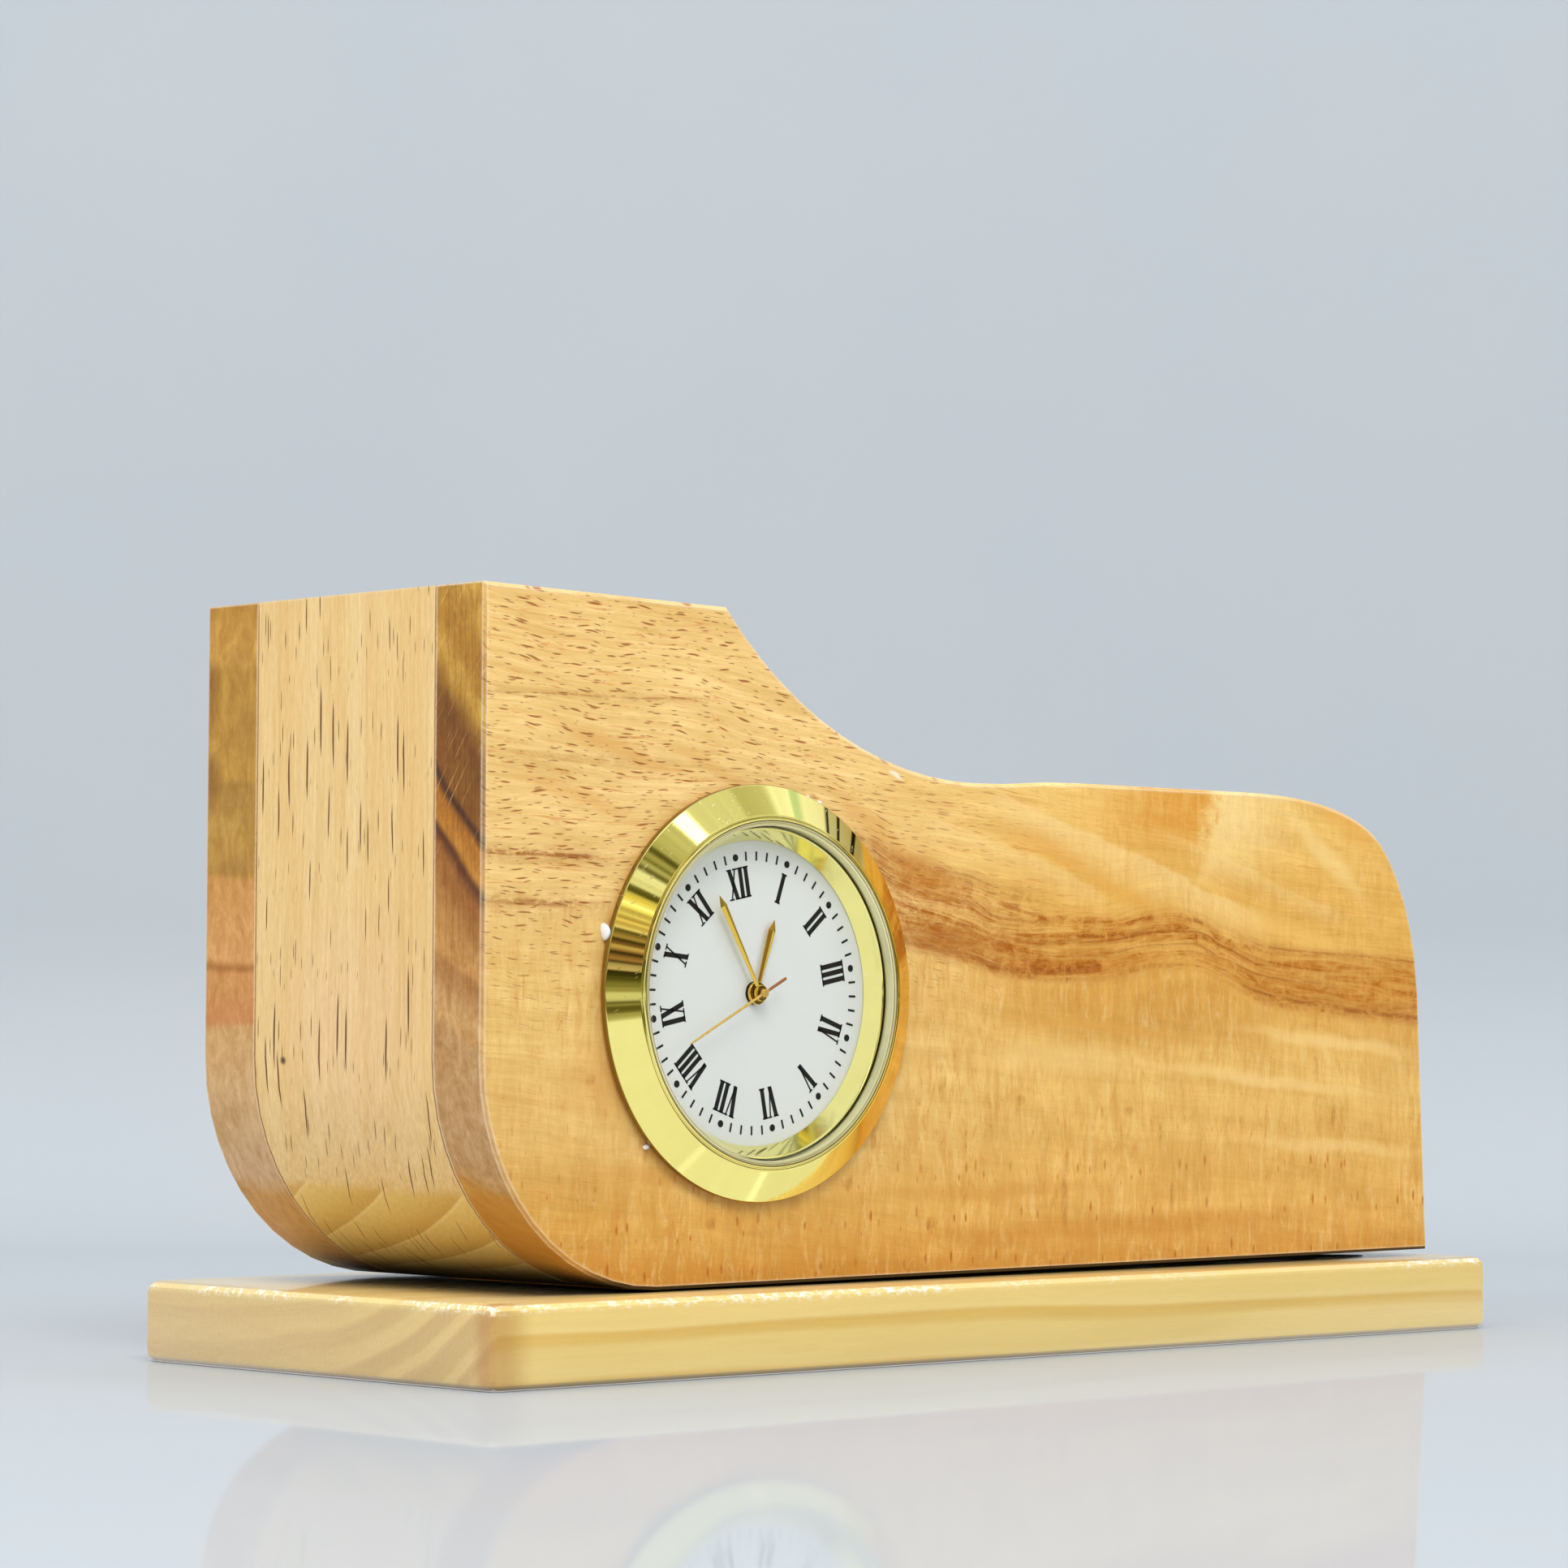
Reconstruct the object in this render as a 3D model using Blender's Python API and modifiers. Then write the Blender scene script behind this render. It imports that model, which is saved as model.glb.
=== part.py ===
"""A wooden desk pen holder with a clock insert, built as separate pieces.

Metres, +Z up. The origin is at the middle of the base plate's underside.
+X runs along the holder towards its low end, and +Y runs from the dial side to the back.
The clock is built in its own frame, which stands on the wood's front face: x to the right,
y up and z towards the viewer, so a depth into the wood is a negative z.
"""

import math

import bmesh
import bpy
from mathutils import Matrix, Vector

# Base plate, which stands out from the body all round
BASE_END_MARGIN = 0.00405
BASE_FRONT_MARGIN = 0.0072
BASE_BACK_MARGIN = 0.0062
BASE_THICK = 0.0098
BASE_EDGE_ROUND = 0.0014

# Wooden body, measured from its lower left front corner
BODY_LENGTH = 0.1699
BODY_HEIGHT = 0.0817
FRONT_BOARD_THICK = 0.0087
CENTRE_THICK = 0.0338
BACK_BOARD_THICK = 0.0101
CORNER_RADIUS = 0.027
SLOPE_TOP_X = 0.0379
SLOPE_TOP_HEIGHT = 0.0810
VALLEY_X = 0.0804
VALLEY_HEIGHT = 0.0615
CREST_X = 0.099
LOW_HEIGHT = 0.0622
FOOT_RISE = 0.0006
ARRIS_EASE = 0.0004
GLUE_GAP = 0.0003

# Control points of the rounded low end, as shares of the body's length and of its low height
SHOULDER_SHARES = (
    (0.777, 1.000),
    (0.865, 1.000),
    (0.927, 0.965),
    (0.951, 0.881),
    (0.964, 0.836),
    (0.985, 0.748),
    (0.990, 0.579),
)

# Blocks between the two boards, from left to right
LEFT_BLOCK_LENGTH = 0.030
PEN_WELL_LENGTH = 0.032
MIDDLE_BLOCK_LENGTH = 0.012
END_BLOCK_LENGTH = 0.014

# Screws that hold the body on the base plate
SCREW_SHANK_RADIUS = 0.0018
SCREW_HEAD_RADIUS = 0.0036
SCREW_HEAD_HEIGHT = 0.0024
SCREW_LENGTH = 0.024
SCREW_SINK = 0.0004
SCREW_ROW_OFFSET = 0.009

# Clock insert, as it fits the hole in the front board
CLOCK_X = 0.0426
CLOCK_HEIGHT = 0.0349
INSERT_TURN_DEGREES = 11.0
HOLE_RADIUS = 0.0225
HOLE_END_SPARE = 0.0006
BEZEL_RADIUS = 0.025
BEZEL_RIM_THICK = 0.0007
BEZEL_HEIGHT = 0.0035
LIP_RADIUS = 0.0205
LIP_WIDTH = 0.0006
SKIRT_RADIUS = 0.0216
SKIRT_WALL = 0.0010
SKIRT_DEPTH = 0.0040
LENS_THICK = 0.0009
LENS_RECESS = 0.0004
DIAL_SIGHT_RADIUS = 0.0183
DIAL_DEPTH = 0.0002
DIAL_THICK = 0.0004
RING_GROOVE = 0.0004
BAND_THICK = 0.0004
CASE_WALL = 0.0009
CASE_BACK_THICK = 0.0010
SEAT_GAP = 0.0003
FIT_GAP = 0.0001

# Movement: one stack of layers behind the dial
PLATE_THICK = 0.0008
WHEEL_THICK = 0.0006
LAYER_GAP = 0.0003
BRIDGE_THICK = 0.0008
CONTACT_SPACE = 0.0006
PLATE_EDGE_GAP = 0.0003
HAND_LIFT = 0.00045
HAND_THICK = 0.0002
HAND_STEP = 0.00068
HAND_BOSS_RISE = 0.00015

# Hands
HOUR_HAND_LENGTH = 0.0093
MINUTE_HAND_LENGTH = 0.0129
SECOND_HAND_LENGTH = 0.0130
SECOND_HAND_TAIL = 0.0050
HOUR_HAND_WIDTH = 0.00115
MINUTE_HAND_WIDTH = 0.00098
SECOND_HAND_WIDTH = 0.00030
HAND_POINT = 0.0014
HOUR_BOSS_RADIUS = 0.0014
MINUTE_BOSS_RADIUS = 0.0010
SECOND_BOSS_RADIUS = 0.00050
HOUR_ANGLE_DEGREES = 29.3
MINUTE_ANGLE_DEGREES = 343.4
SECOND_ANGLE_DEGREES = 251.9

# Arbors and tubes
SECOND_ARBOR_RADIUS = 0.00025
MINUTE_TUBE_RADIUS = 0.00072
HOUR_TUBE_RADIUS = 0.00108
ARBOR_RADIUS = 0.00030
POST_RADIUS = 0.00050
PILLAR_RADIUS = 0.0012

# Teeth of the train: wheel, then the pinion that it meets
MOTION_HOUR_TEETH = 32
MOTION_MINUTE_PINION_TEETH = 8
MOTION_MINUTE_TEETH = 24
CANNON_TEETH = 8
CENTRE_TEETH = 45
THIRD_PINION_TEETH = 6
THIRD_TEETH = 48
SECOND_PINION_TEETH = 6
SECOND_TEETH = 36
INTERMEDIATE_PINION_TEETH = 6
INTERMEDIATE_TEETH = 30
ROTOR_PINION_TEETH = 6
SETTING_PINION_TEETH = 8

# Distances from one arbor to the next, and their directions on the plate
MOTION_DISTANCE = 0.0056
THIRD_DISTANCE = 0.00729
INTERMEDIATE_DISTANCE = 0.00735
ROTOR_DISTANCE = 0.00522
MOTION_DIRECTION = 90.0
THIRD_DIRECTION = 200.0
INTERMEDIATE_DIRECTION = 20.0
ROTOR_DIRECTION = -45.0
SETTING_DIRECTION = 60.0

# Tooth form: heights as shares of the module, half widths as shares of the pitch
TOOTH_TIP_SHARE = 0.72
TOOTH_ROOT_SHARE = 1.05
TOOTH_ROOT_WIDTH_SHARE = 0.25
TOOTH_TIP_WIDTH_SHARE = 0.10

# Power and setting
BATTERY_RADIUS = 0.0058
BATTERY_THICK = 0.0054
BATTERY_LIP = 0.0006
BATTERY_X = 0.0025
BATTERY_Y = -0.0130
CONTACT_WIDTH = 0.0030
CONTACT_THICK = 0.0002
ROTOR_MAGNET_RADIUS = 0.0012
STATOR_HOLE_RADIUS = 0.0016
STATOR_RING_RADIUS = 0.0030
STATOR_ARM_WIDTH = 0.0022
COIL_LENGTH = 0.0104
COIL_RADIUS = 0.0013
COIL_FLANGE_RADIUS = 0.0017
COIL_FLANGE_THICK = 0.0006
COIL_X = 0.0123
COIL_Y = 0.0106
COIL_TURN_DEGREES = -45.0
BOARD_LENGTH = 0.010
BOARD_WIDTH = 0.0058
BOARD_THICK = 0.0006
BOARD_X = -0.0065
BOARD_Y = 0.0118
CHIP_RADIUS = 0.0016
CHIP_HEIGHT = 0.0008
CRYSTAL_LENGTH = 0.0058
CRYSTAL_RADIUS = 0.0010
KNOB_RADIUS = 0.0026
KNOB_THICK = 0.0018
KNOB_RIBS = 14
KNOB_RIB_DEPTH = 0.0002
KNOB_STEM_RADIUS = 0.0007
HATCH_RADIUS = 0.0066
HATCH_SLOT_WIDTH = 0.0012
HATCH_SLOT_DEPTH = 0.0005
PILLAR_CIRCLE_RADIUS = 0.0172
PILLAR_DIRECTIONS = (165.0, 238.0, 330.0)
PLATE_SCREW_RADIUS = 0.0013
PLATE_SCREW_HEIGHT = 0.0004

# Mesh fineness and the overrun of every cut
ROUND_STEPS = 64
SMALL_STEPS = 20
TINY_STEPS = 12
ARC_STEPS = 12
OVERRUN = 0.001
MERGE_DISTANCE = 0.000001

# Heights and places that follow from the sizes above
BODY_DEPTH = FRONT_BOARD_THICK + CENTRE_THICK + BACK_BOARD_THICK
BASE_LENGTH = BODY_LENGTH + 2 * BASE_END_MARGIN
BASE_DEPTH = BODY_DEPTH + BASE_FRONT_MARGIN + BASE_BACK_MARGIN
BODY_LEFT = -BODY_LENGTH / 2
BODY_FRONT = -BASE_DEPTH / 2 + BASE_FRONT_MARGIN
BODY_BOTTOM = BASE_THICK + GLUE_GAP
FRONT_BACK_Y = BODY_FRONT + FRONT_BOARD_THICK
CENTRE_FRONT_Y = FRONT_BACK_Y + GLUE_GAP
BACK_FRONT_Y = FRONT_BACK_Y + CENTRE_THICK
CENTRE_BACK_Y = BACK_FRONT_Y - GLUE_GAP
MIDDLE_BLOCK_X = LEFT_BLOCK_LENGTH + PEN_WELL_LENGTH
END_BLOCK_X = BODY_LENGTH - END_BLOCK_LENGTH

# Depths behind the front face of the wood, one layer after the other
DIAL_BACK = DIAL_DEPTH + DIAL_THICK
PLATE_FRONT = DIAL_BACK + SEAT_GAP
PLATE_BACK = PLATE_FRONT + PLATE_THICK
LAYER_PITCH = WHEEL_THICK + LAYER_GAP
HOUR_LAYER = PLATE_BACK + LAYER_GAP
CANNON_LAYER = HOUR_LAYER + LAYER_PITCH
CENTRE_LAYER = CANNON_LAYER + LAYER_PITCH
THIRD_LAYER = CENTRE_LAYER + LAYER_PITCH
SECOND_LAYER = THIRD_LAYER + LAYER_PITCH
INTERMEDIATE_LAYER = SECOND_LAYER + LAYER_PITCH
STATOR_LAYER = INTERMEDIATE_LAYER + LAYER_PITCH
BRIDGE_FRONT = STATOR_LAYER + LAYER_PITCH
BRIDGE_BACK = BRIDGE_FRONT + BRIDGE_THICK
CASE_FLOOR = BRIDGE_BACK + CONTACT_SPACE
CASE_BACK = CASE_FLOOR + CASE_BACK_THICK
HOLE_DEPTH = CASE_BACK + HOLE_END_SPARE

# Radii inside the clock
SKIRT_BORE = SKIRT_RADIUS - SKIRT_WALL
CASE_BORE = SKIRT_RADIUS - CASE_WALL
PLATE_RADIUS = SKIRT_BORE - PLATE_EDGE_GAP
LENS_RADIUS = LIP_RADIUS - LIP_WIDTH
RING_FRONT = -(BEZEL_HEIGHT - LENS_RECESS - LENS_THICK) + SEAT_GAP
RING_RADIUS = LENS_RADIUS

# Heights of the hands in front of the wood, as negative depths
HOUR_HAND_BACK = DIAL_DEPTH - HAND_LIFT
MINUTE_HAND_BACK = HOUR_HAND_BACK - HAND_STEP
SECOND_HAND_BACK = MINUTE_HAND_BACK - HAND_STEP


def module_for(distance, wheel_teeth, pinion_teeth):
    """The module that makes two toothed wheels meet at a given distance."""
    return 2 * distance / (wheel_teeth + pinion_teeth)


HOUR_MODULE = module_for(MOTION_DISTANCE, MOTION_HOUR_TEETH, MOTION_MINUTE_PINION_TEETH)
MINUTE_MODULE = module_for(MOTION_DISTANCE, MOTION_MINUTE_TEETH, CANNON_TEETH)
CENTRE_MODULE = module_for(THIRD_DISTANCE, CENTRE_TEETH, THIRD_PINION_TEETH)
THIRD_MODULE = module_for(THIRD_DISTANCE, THIRD_TEETH, SECOND_PINION_TEETH)
SECOND_MODULE = module_for(INTERMEDIATE_DISTANCE, SECOND_TEETH, INTERMEDIATE_PINION_TEETH)
ROTOR_MODULE = module_for(ROTOR_DISTANCE, INTERMEDIATE_TEETH, ROTOR_PINION_TEETH)
SETTING_DISTANCE = (MOTION_MINUTE_TEETH + SETTING_PINION_TEETH) * MINUTE_MODULE / 2


def polar(distance, degrees, start=(0.0, 0.0)):
    """A point at a distance and direction from a start point."""
    angle = math.radians(degrees)
    return (start[0] + distance * math.cos(angle), start[1] + distance * math.sin(angle))


MOTION_AXIS = polar(MOTION_DISTANCE, MOTION_DIRECTION)
THIRD_AXIS = polar(THIRD_DISTANCE, THIRD_DIRECTION)
INTERMEDIATE_AXIS = polar(INTERMEDIATE_DISTANCE, INTERMEDIATE_DIRECTION)
ROTOR_AXIS = polar(ROTOR_DISTANCE, ROTOR_DIRECTION, INTERMEDIATE_AXIS)
SETTING_AXIS = polar(SETTING_DISTANCE, SETTING_DIRECTION, MOTION_AXIS)


# Scene, materials and objects

def clear_scene():
    """Remove every object of the open scene."""
    for old in list(bpy.data.objects):
        bpy.data.objects.remove(old, do_unlink=True)


def new_collection(name):
    """Make a collection and link it to the scene."""
    collection = bpy.data.collections.new(name)
    bpy.context.scene.collection.children.link(collection)
    return collection


def new_material(name, colour, roughness, metallic=0.0, alpha=1.0):
    """Make a Principled material."""
    material = bpy.data.materials.new(name)
    material.use_nodes = True
    shader = material.node_tree.nodes["Principled BSDF"]
    shader.inputs["Base Color"].default_value = (*colour, 1.0)
    shader.inputs["Roughness"].default_value = roughness
    shader.inputs["Metallic"].default_value = metallic
    shader.inputs["Alpha"].default_value = alpha
    material.diffuse_color = (*colour, alpha)
    return material


def add_object(name, mesh, material, collection=None, parent=None, place=(0.0, 0.0, 0.0)):
    """Link a mesh as a named object."""
    made = bpy.data.objects.new(name, mesh)
    (collection or PARTS).objects.link(made)
    if material is not None:
        mesh.materials.clear()
        mesh.materials.append(material)
    made.parent = parent
    made.location = place
    return made


def add_empty(name, parent=None, place=(0.0, 0.0, 0.0), turn=(0.0, 0.0, 0.0)):
    """Add a frame that pieces are parented to."""
    empty = bpy.data.objects.new(name, None)
    PARTS.objects.link(empty)
    empty.parent = parent
    empty.location = place
    empty.rotation_euler = turn
    return empty


def hide_cutter(made):
    """Mark an object as a cutter, which is no piece of the model."""
    made.hide_render = True
    made.display_type = "WIRE"
    return made


def smooth(made, degrees=35.0):
    """Shade round faces smooth and keep the corners sharp."""
    made.data.shade_smooth()
    made.data.set_sharp_from_angle(angle=math.radians(degrees))
    return made


def boolean(made, tool, operation):
    """Cut, join or intersect an object with a tool."""
    modifier = made.modifiers.new(operation.title(), "BOOLEAN")
    modifier.operation = operation
    modifier.object = tool
    modifier.solver = "EXACT"
    return made


def apply_modifiers(made):
    """Replace an object's mesh by the result of its modifiers."""
    bpy.context.view_layer.update()
    graph = bpy.context.evaluated_depsgraph_get()
    mesh = bpy.data.meshes.new_from_object(made.evaluated_get(graph))
    made.modifiers.clear()
    made.data = mesh
    return made


# Shapes

def box_mesh(name, low, high):
    """A box between two corners."""
    shape = bmesh.new()
    bmesh.ops.create_cube(shape, size=1.0)
    size = [high[i] - low[i] for i in range(3)]
    middle = [(high[i] + low[i]) / 2 for i in range(3)]
    bmesh.ops.scale(shape, vec=size, verts=shape.verts)
    bmesh.ops.translate(shape, vec=middle, verts=shape.verts)
    mesh = bpy.data.meshes.new(name)
    shape.to_mesh(mesh)
    shape.free()
    return mesh


def cone_mesh(name, radius_low, radius_high, low, high, steps):
    """A cylinder or cone along z between two heights."""
    shape = bmesh.new()
    bmesh.ops.create_cone(
        shape, cap_ends=True, segments=steps,
        radius1=radius_low, radius2=radius_high, depth=high - low,
    )
    bmesh.ops.translate(shape, vec=(0.0, 0.0, (high + low) / 2), verts=shape.verts)
    mesh = bpy.data.meshes.new(name)
    shape.to_mesh(mesh)
    shape.free()
    return mesh


def turned_mesh(name, profile, steps, closed):
    """A turned shape: the profile of (radius, z) points runs down its outer side."""
    mesh = bpy.data.meshes.new(name + "_profile")
    points = [(radius, 0.0, z) for radius, z in profile]
    edges = [(i, i + 1) for i in range(len(points) - 1)]
    if closed:
        edges.append((len(points) - 1, 0))
    mesh.from_pydata(points, edges, [])
    guide = bpy.data.objects.new(name + "_guide", mesh)
    CUTTERS.objects.link(guide)
    screw = guide.modifiers.new("Turn", "SCREW")
    screw.axis = "Z"
    screw.angle = 2 * math.pi
    screw.steps = steps
    screw.render_steps = steps
    screw.use_merge_vertices = True
    screw.merge_threshold = MERGE_DISTANCE
    apply_modifiers(guide)
    turned = guide.data
    bpy.data.objects.remove(guide, do_unlink=True)
    return turned


def prism_mesh(name, outline, low, high):
    """A flat outline, extruded along z between two heights."""
    curve = bpy.data.curves.new(name + "_outline", "CURVE")
    curve.dimensions = "2D"
    curve.fill_mode = "BOTH"
    curve.extrude = (high - low) / 2
    spline = curve.splines.new("POLY")
    spline.points.add(len(outline) - 1)
    for point, (x, y) in zip(spline.points, outline):
        point.co = (x, y, 0.0, 1.0)
    spline.use_cyclic_u = True
    guide = bpy.data.objects.new(name + "_guide", curve)
    CUTTERS.objects.link(guide)
    bpy.context.view_layer.update()
    graph = bpy.context.evaluated_depsgraph_get()
    mesh = bpy.data.meshes.new_from_object(guide.evaluated_get(graph))
    bpy.data.objects.remove(guide, do_unlink=True)
    shape = bmesh.new()
    shape.from_mesh(mesh)
    bmesh.ops.remove_doubles(shape, verts=shape.verts, dist=MERGE_DISTANCE)
    bmesh.ops.translate(shape, vec=(0.0, 0.0, (high + low) / 2), verts=shape.verts)
    bmesh.ops.recalc_face_normals(shape, faces=shape.faces)
    shape.to_mesh(mesh)
    shape.free()
    return mesh


def cut_with(made, mesh, parent=None, place=(0.0, 0.0, 0.0)):
    """Cut a mesh, standing in the given frame, out of an object."""
    tool = add_object(made.name + "_cutter", mesh, None, CUTTERS, parent, place)
    hide_cutter(tool)
    return boolean(made, tool, "DIFFERENCE")


def join_with(made, mesh, parent=None, place=(0.0, 0.0, 0.0)):
    """Join a mesh, standing in the given frame, to an object."""
    tool = add_object(made.name + "_join", mesh, None, CUTTERS, parent, place)
    hide_cutter(tool)
    return boolean(made, tool, "UNION")


# Wooden body

def arc_points(centre, radius, start_degrees, end_degrees, steps):
    """Points along an arc, both ends included."""
    points = []
    for i in range(steps + 1):
        degrees = start_degrees + (end_degrees - start_degrees) * i / steps
        points.append(polar(radius, degrees, centre))
    return points


def bezier_points(start, first, second, end, steps):
    """Points along a cubic curve, without its start."""
    points = []
    for i in range(1, steps + 1):
        t = i / steps
        u = 1 - t
        weights = (u * u * u, 3 * u * u * t, 3 * u * t * t, t * t * t)
        x = sum(w * p[0] for w, p in zip(weights, (start, first, second, end)))
        z = sum(w * p[1] for w, p in zip(weights, (start, first, second, end)))
        points.append((x, z))
    return points


def slope_points():
    """The hollow slope from the tall end down to the low deck."""
    run = VALLEY_X - SLOPE_TOP_X
    drop = SLOPE_TOP_HEIGHT - VALLEY_HEIGHT
    radius = (run * run + drop * drop) / (2 * drop)
    centre = (VALLEY_X, VALLEY_HEIGHT + radius)
    start_degrees = 180 + math.degrees(math.acos(run / radius))
    return arc_points(centre, radius, start_degrees, 270.0, ARC_STEPS)


def deck_points():
    """The low deck, which rises a little and then rounds over the low end."""
    valley = (VALLEY_X, VALLEY_HEIGHT)
    crest = (CREST_X, LOW_HEIGHT)
    half = (VALLEY_X + CREST_X) / 2
    rise = bezier_points(valley, (half, VALLEY_HEIGHT), (half, LOW_HEIGHT), crest, ARC_STEPS // 3)
    control = [(x * BODY_LENGTH, z * LOW_HEIGHT) for x, z in SHOULDER_SHARES]
    upper = bezier_points(control[0], control[1], control[2], control[3], ARC_STEPS)
    lower = bezier_points(control[3], control[4], control[5], control[6], ARC_STEPS // 2)
    return rise + [control[0]] + upper + lower


def body_outline():
    """The outline of both boards, seen from the front, from the lower left corner round."""
    corner = (CORNER_RADIUS, CORNER_RADIUS)
    points = arc_points(corner, CORNER_RADIUS, 270.0, 180.0, ARC_STEPS)
    points.append((0.0, BODY_HEIGHT))
    points += slope_points()
    points += deck_points()
    points.append((BODY_LENGTH, FOOT_RISE))
    return points


def upright(mesh, front_y, thick):
    """Stand a prism of the body outline up, with its front face at front_y."""
    stand = Matrix.Rotation(math.radians(90.0), 4, "X")
    shift = Matrix.Translation(Vector((BODY_LEFT, front_y + thick, BODY_BOTTOM)))
    mesh.transform(shift @ stand)
    return mesh


def ease_face_edges(mesh, face_y):
    """Take the arris off the edges that lie in one upright face."""
    shape = bmesh.new()
    shape.from_mesh(mesh)
    limit = ARRIS_EASE / 10
    flat = [face for face in shape.faces if all(abs(v.co.y - face_y) < limit for v in face.verts)]
    inner = set(flat)
    edges = [e for e in shape.edges if len([f for f in e.link_faces if f in inner]) == 1]
    bmesh.ops.bevel(
        shape, geom=edges, offset=ARRIS_EASE, offset_type="OFFSET",
        segments=1, profile=0.5, affect="EDGES",
    )
    shape.to_mesh(mesh)
    shape.free()
    return mesh


def outline_slab(name, front_y, thick):
    """The full body outline as a slab that stands at front_y."""
    return upright(prism_mesh(name, body_outline(), 0.0, thick), front_y, thick)


def hole_mesh(name, depth):
    """The round clock hole, cut from in front of the wood to a depth behind its face."""
    return cone_mesh(name, HOLE_RADIUS, HOLE_RADIUS, -depth, OVERRUN, ROUND_STEPS)


def build_boards(frame):
    """The front board with its clock hole, and the back board."""
    front_mesh = outline_slab("front_board", BODY_FRONT, FRONT_BOARD_THICK)
    ease_face_edges(front_mesh, BODY_FRONT)
    front = add_object("front_board", front_mesh, FRONT_WOOD)
    cut_with(front, hole_mesh("clock_hole", HOLE_DEPTH), frame)
    back_y = BODY_FRONT + BODY_DEPTH
    back_mesh = outline_slab("back_board", BACK_FRONT_Y, BACK_BOARD_THICK)
    ease_face_edges(back_mesh, back_y)
    add_object("back_board", back_mesh, BACK_WOOD)
    smooth(front)
    smooth(bpy.data.objects["back_board"])


def build_block(name, start_x, length, material):
    """One block between the boards, cut to the body outline."""
    slab = outline_slab(name, CENTRE_FRONT_Y, CENTRE_BACK_Y - CENTRE_FRONT_Y)
    block = add_object(name, slab, material)
    left = BODY_LEFT + start_x
    right = left + length
    if start_x == 0:
        left -= OVERRUN
    if start_x + length >= BODY_LENGTH:
        right += OVERRUN
    low = (left, BODY_FRONT, BODY_BOTTOM - OVERRUN)
    high = (right, BODY_FRONT + BODY_DEPTH, BODY_BOTTOM + BODY_HEIGHT + OVERRUN)
    keep = add_object(name + "_keep", box_mesh(name + "_keep", low, high), None, CUTTERS)
    hide_cutter(keep)
    boolean(block, keep, "INTERSECT")
    return block


def build_blocks(frame):
    """The three blocks that space the boards and leave the two wells open."""
    left = build_block("left_end_block", 0.0, LEFT_BLOCK_LENGTH, BLOCK_WOOD)
    cut_with(left, hole_mesh("left_recess", HOLE_DEPTH), frame)
    middle = build_block("middle_block", MIDDLE_BLOCK_X, MIDDLE_BLOCK_LENGTH, BLOCK_WOOD)
    cut_with(middle, hole_mesh("middle_recess", HOLE_DEPTH), frame)
    end = build_block("right_end_block", END_BLOCK_X, END_BLOCK_LENGTH, BLOCK_WOOD)
    for place in screw_places():
        for block in (middle, end):
            if abs(block_middle(block) - place[0]) < SCREW_HEAD_RADIUS:
                cut_with(block, screw_mesh("pilot", FIT_GAP, OVERRUN), None, place)
    for block in (left, middle, end):
        smooth(block)


def block_middle(block):
    """The x of a block's middle, by its name."""
    if block.name == "middle_block":
        return BODY_LEFT + MIDDLE_BLOCK_X + MIDDLE_BLOCK_LENGTH / 2
    return BODY_LEFT + END_BLOCK_X + END_BLOCK_LENGTH / 2


# Base plate and its screws

def screw_places():
    """Where the screws stand: two in the middle block and two in the end block."""
    middle_y = (CENTRE_FRONT_Y + CENTRE_BACK_Y) / 2
    columns = (
        BODY_LEFT + MIDDLE_BLOCK_X + MIDDLE_BLOCK_LENGTH / 2,
        BODY_LEFT + END_BLOCK_X + END_BLOCK_LENGTH / 2,
    )
    places = []
    for x in columns:
        for side in (-1, 1):
            places.append((x, middle_y + side * SCREW_ROW_OFFSET, SCREW_SINK))
    return places


def screw_mesh(name, clearance, overrun):
    """A countersunk screw, point up. Clearance and overrun make it a cutter."""
    point = SCREW_LENGTH + clearance
    shank = SCREW_SHANK_RADIUS + clearance
    head = SCREW_HEAD_RADIUS + clearance
    profile = [
        (0.0, point),
        (shank / 2, point - SCREW_SHANK_RADIUS / 2),
        (shank, point - SCREW_SHANK_RADIUS * 2),
        (shank, SCREW_HEAD_HEIGHT + clearance),
        (head, clearance),
        (head, -overrun),
        (0.0, -overrun),
    ]
    if overrun == 0:
        profile.pop(5)
    return turned_mesh(name, profile, SMALL_STEPS, False)


def build_base():
    """The base plate with rounded edges and countersunk holes."""
    low = (-BASE_LENGTH / 2, -BASE_DEPTH / 2, 0.0)
    high = (BASE_LENGTH / 2, BASE_DEPTH / 2, BASE_THICK)
    base = add_object("base_plate", box_mesh("base_plate", low, high), BASE_WOOD)
    bevel = base.modifiers.new("Round", "BEVEL")
    bevel.width = BASE_EDGE_ROUND
    bevel.segments = 3
    apply_modifiers(base)
    for place in screw_places():
        cut_with(base, screw_mesh("base_hole", GLUE_GAP, OVERRUN), None, place)
    smooth(base)


def build_base_screws():
    """Four equal wood screws, each in its own node."""
    for number, place in enumerate(screw_places(), 1):
        name = f"base_screw_{number}"
        smooth(add_object(name, screw_mesh(name, 0.0, 0.0), STEEL, place=place))


# Case of the clock insert

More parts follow.
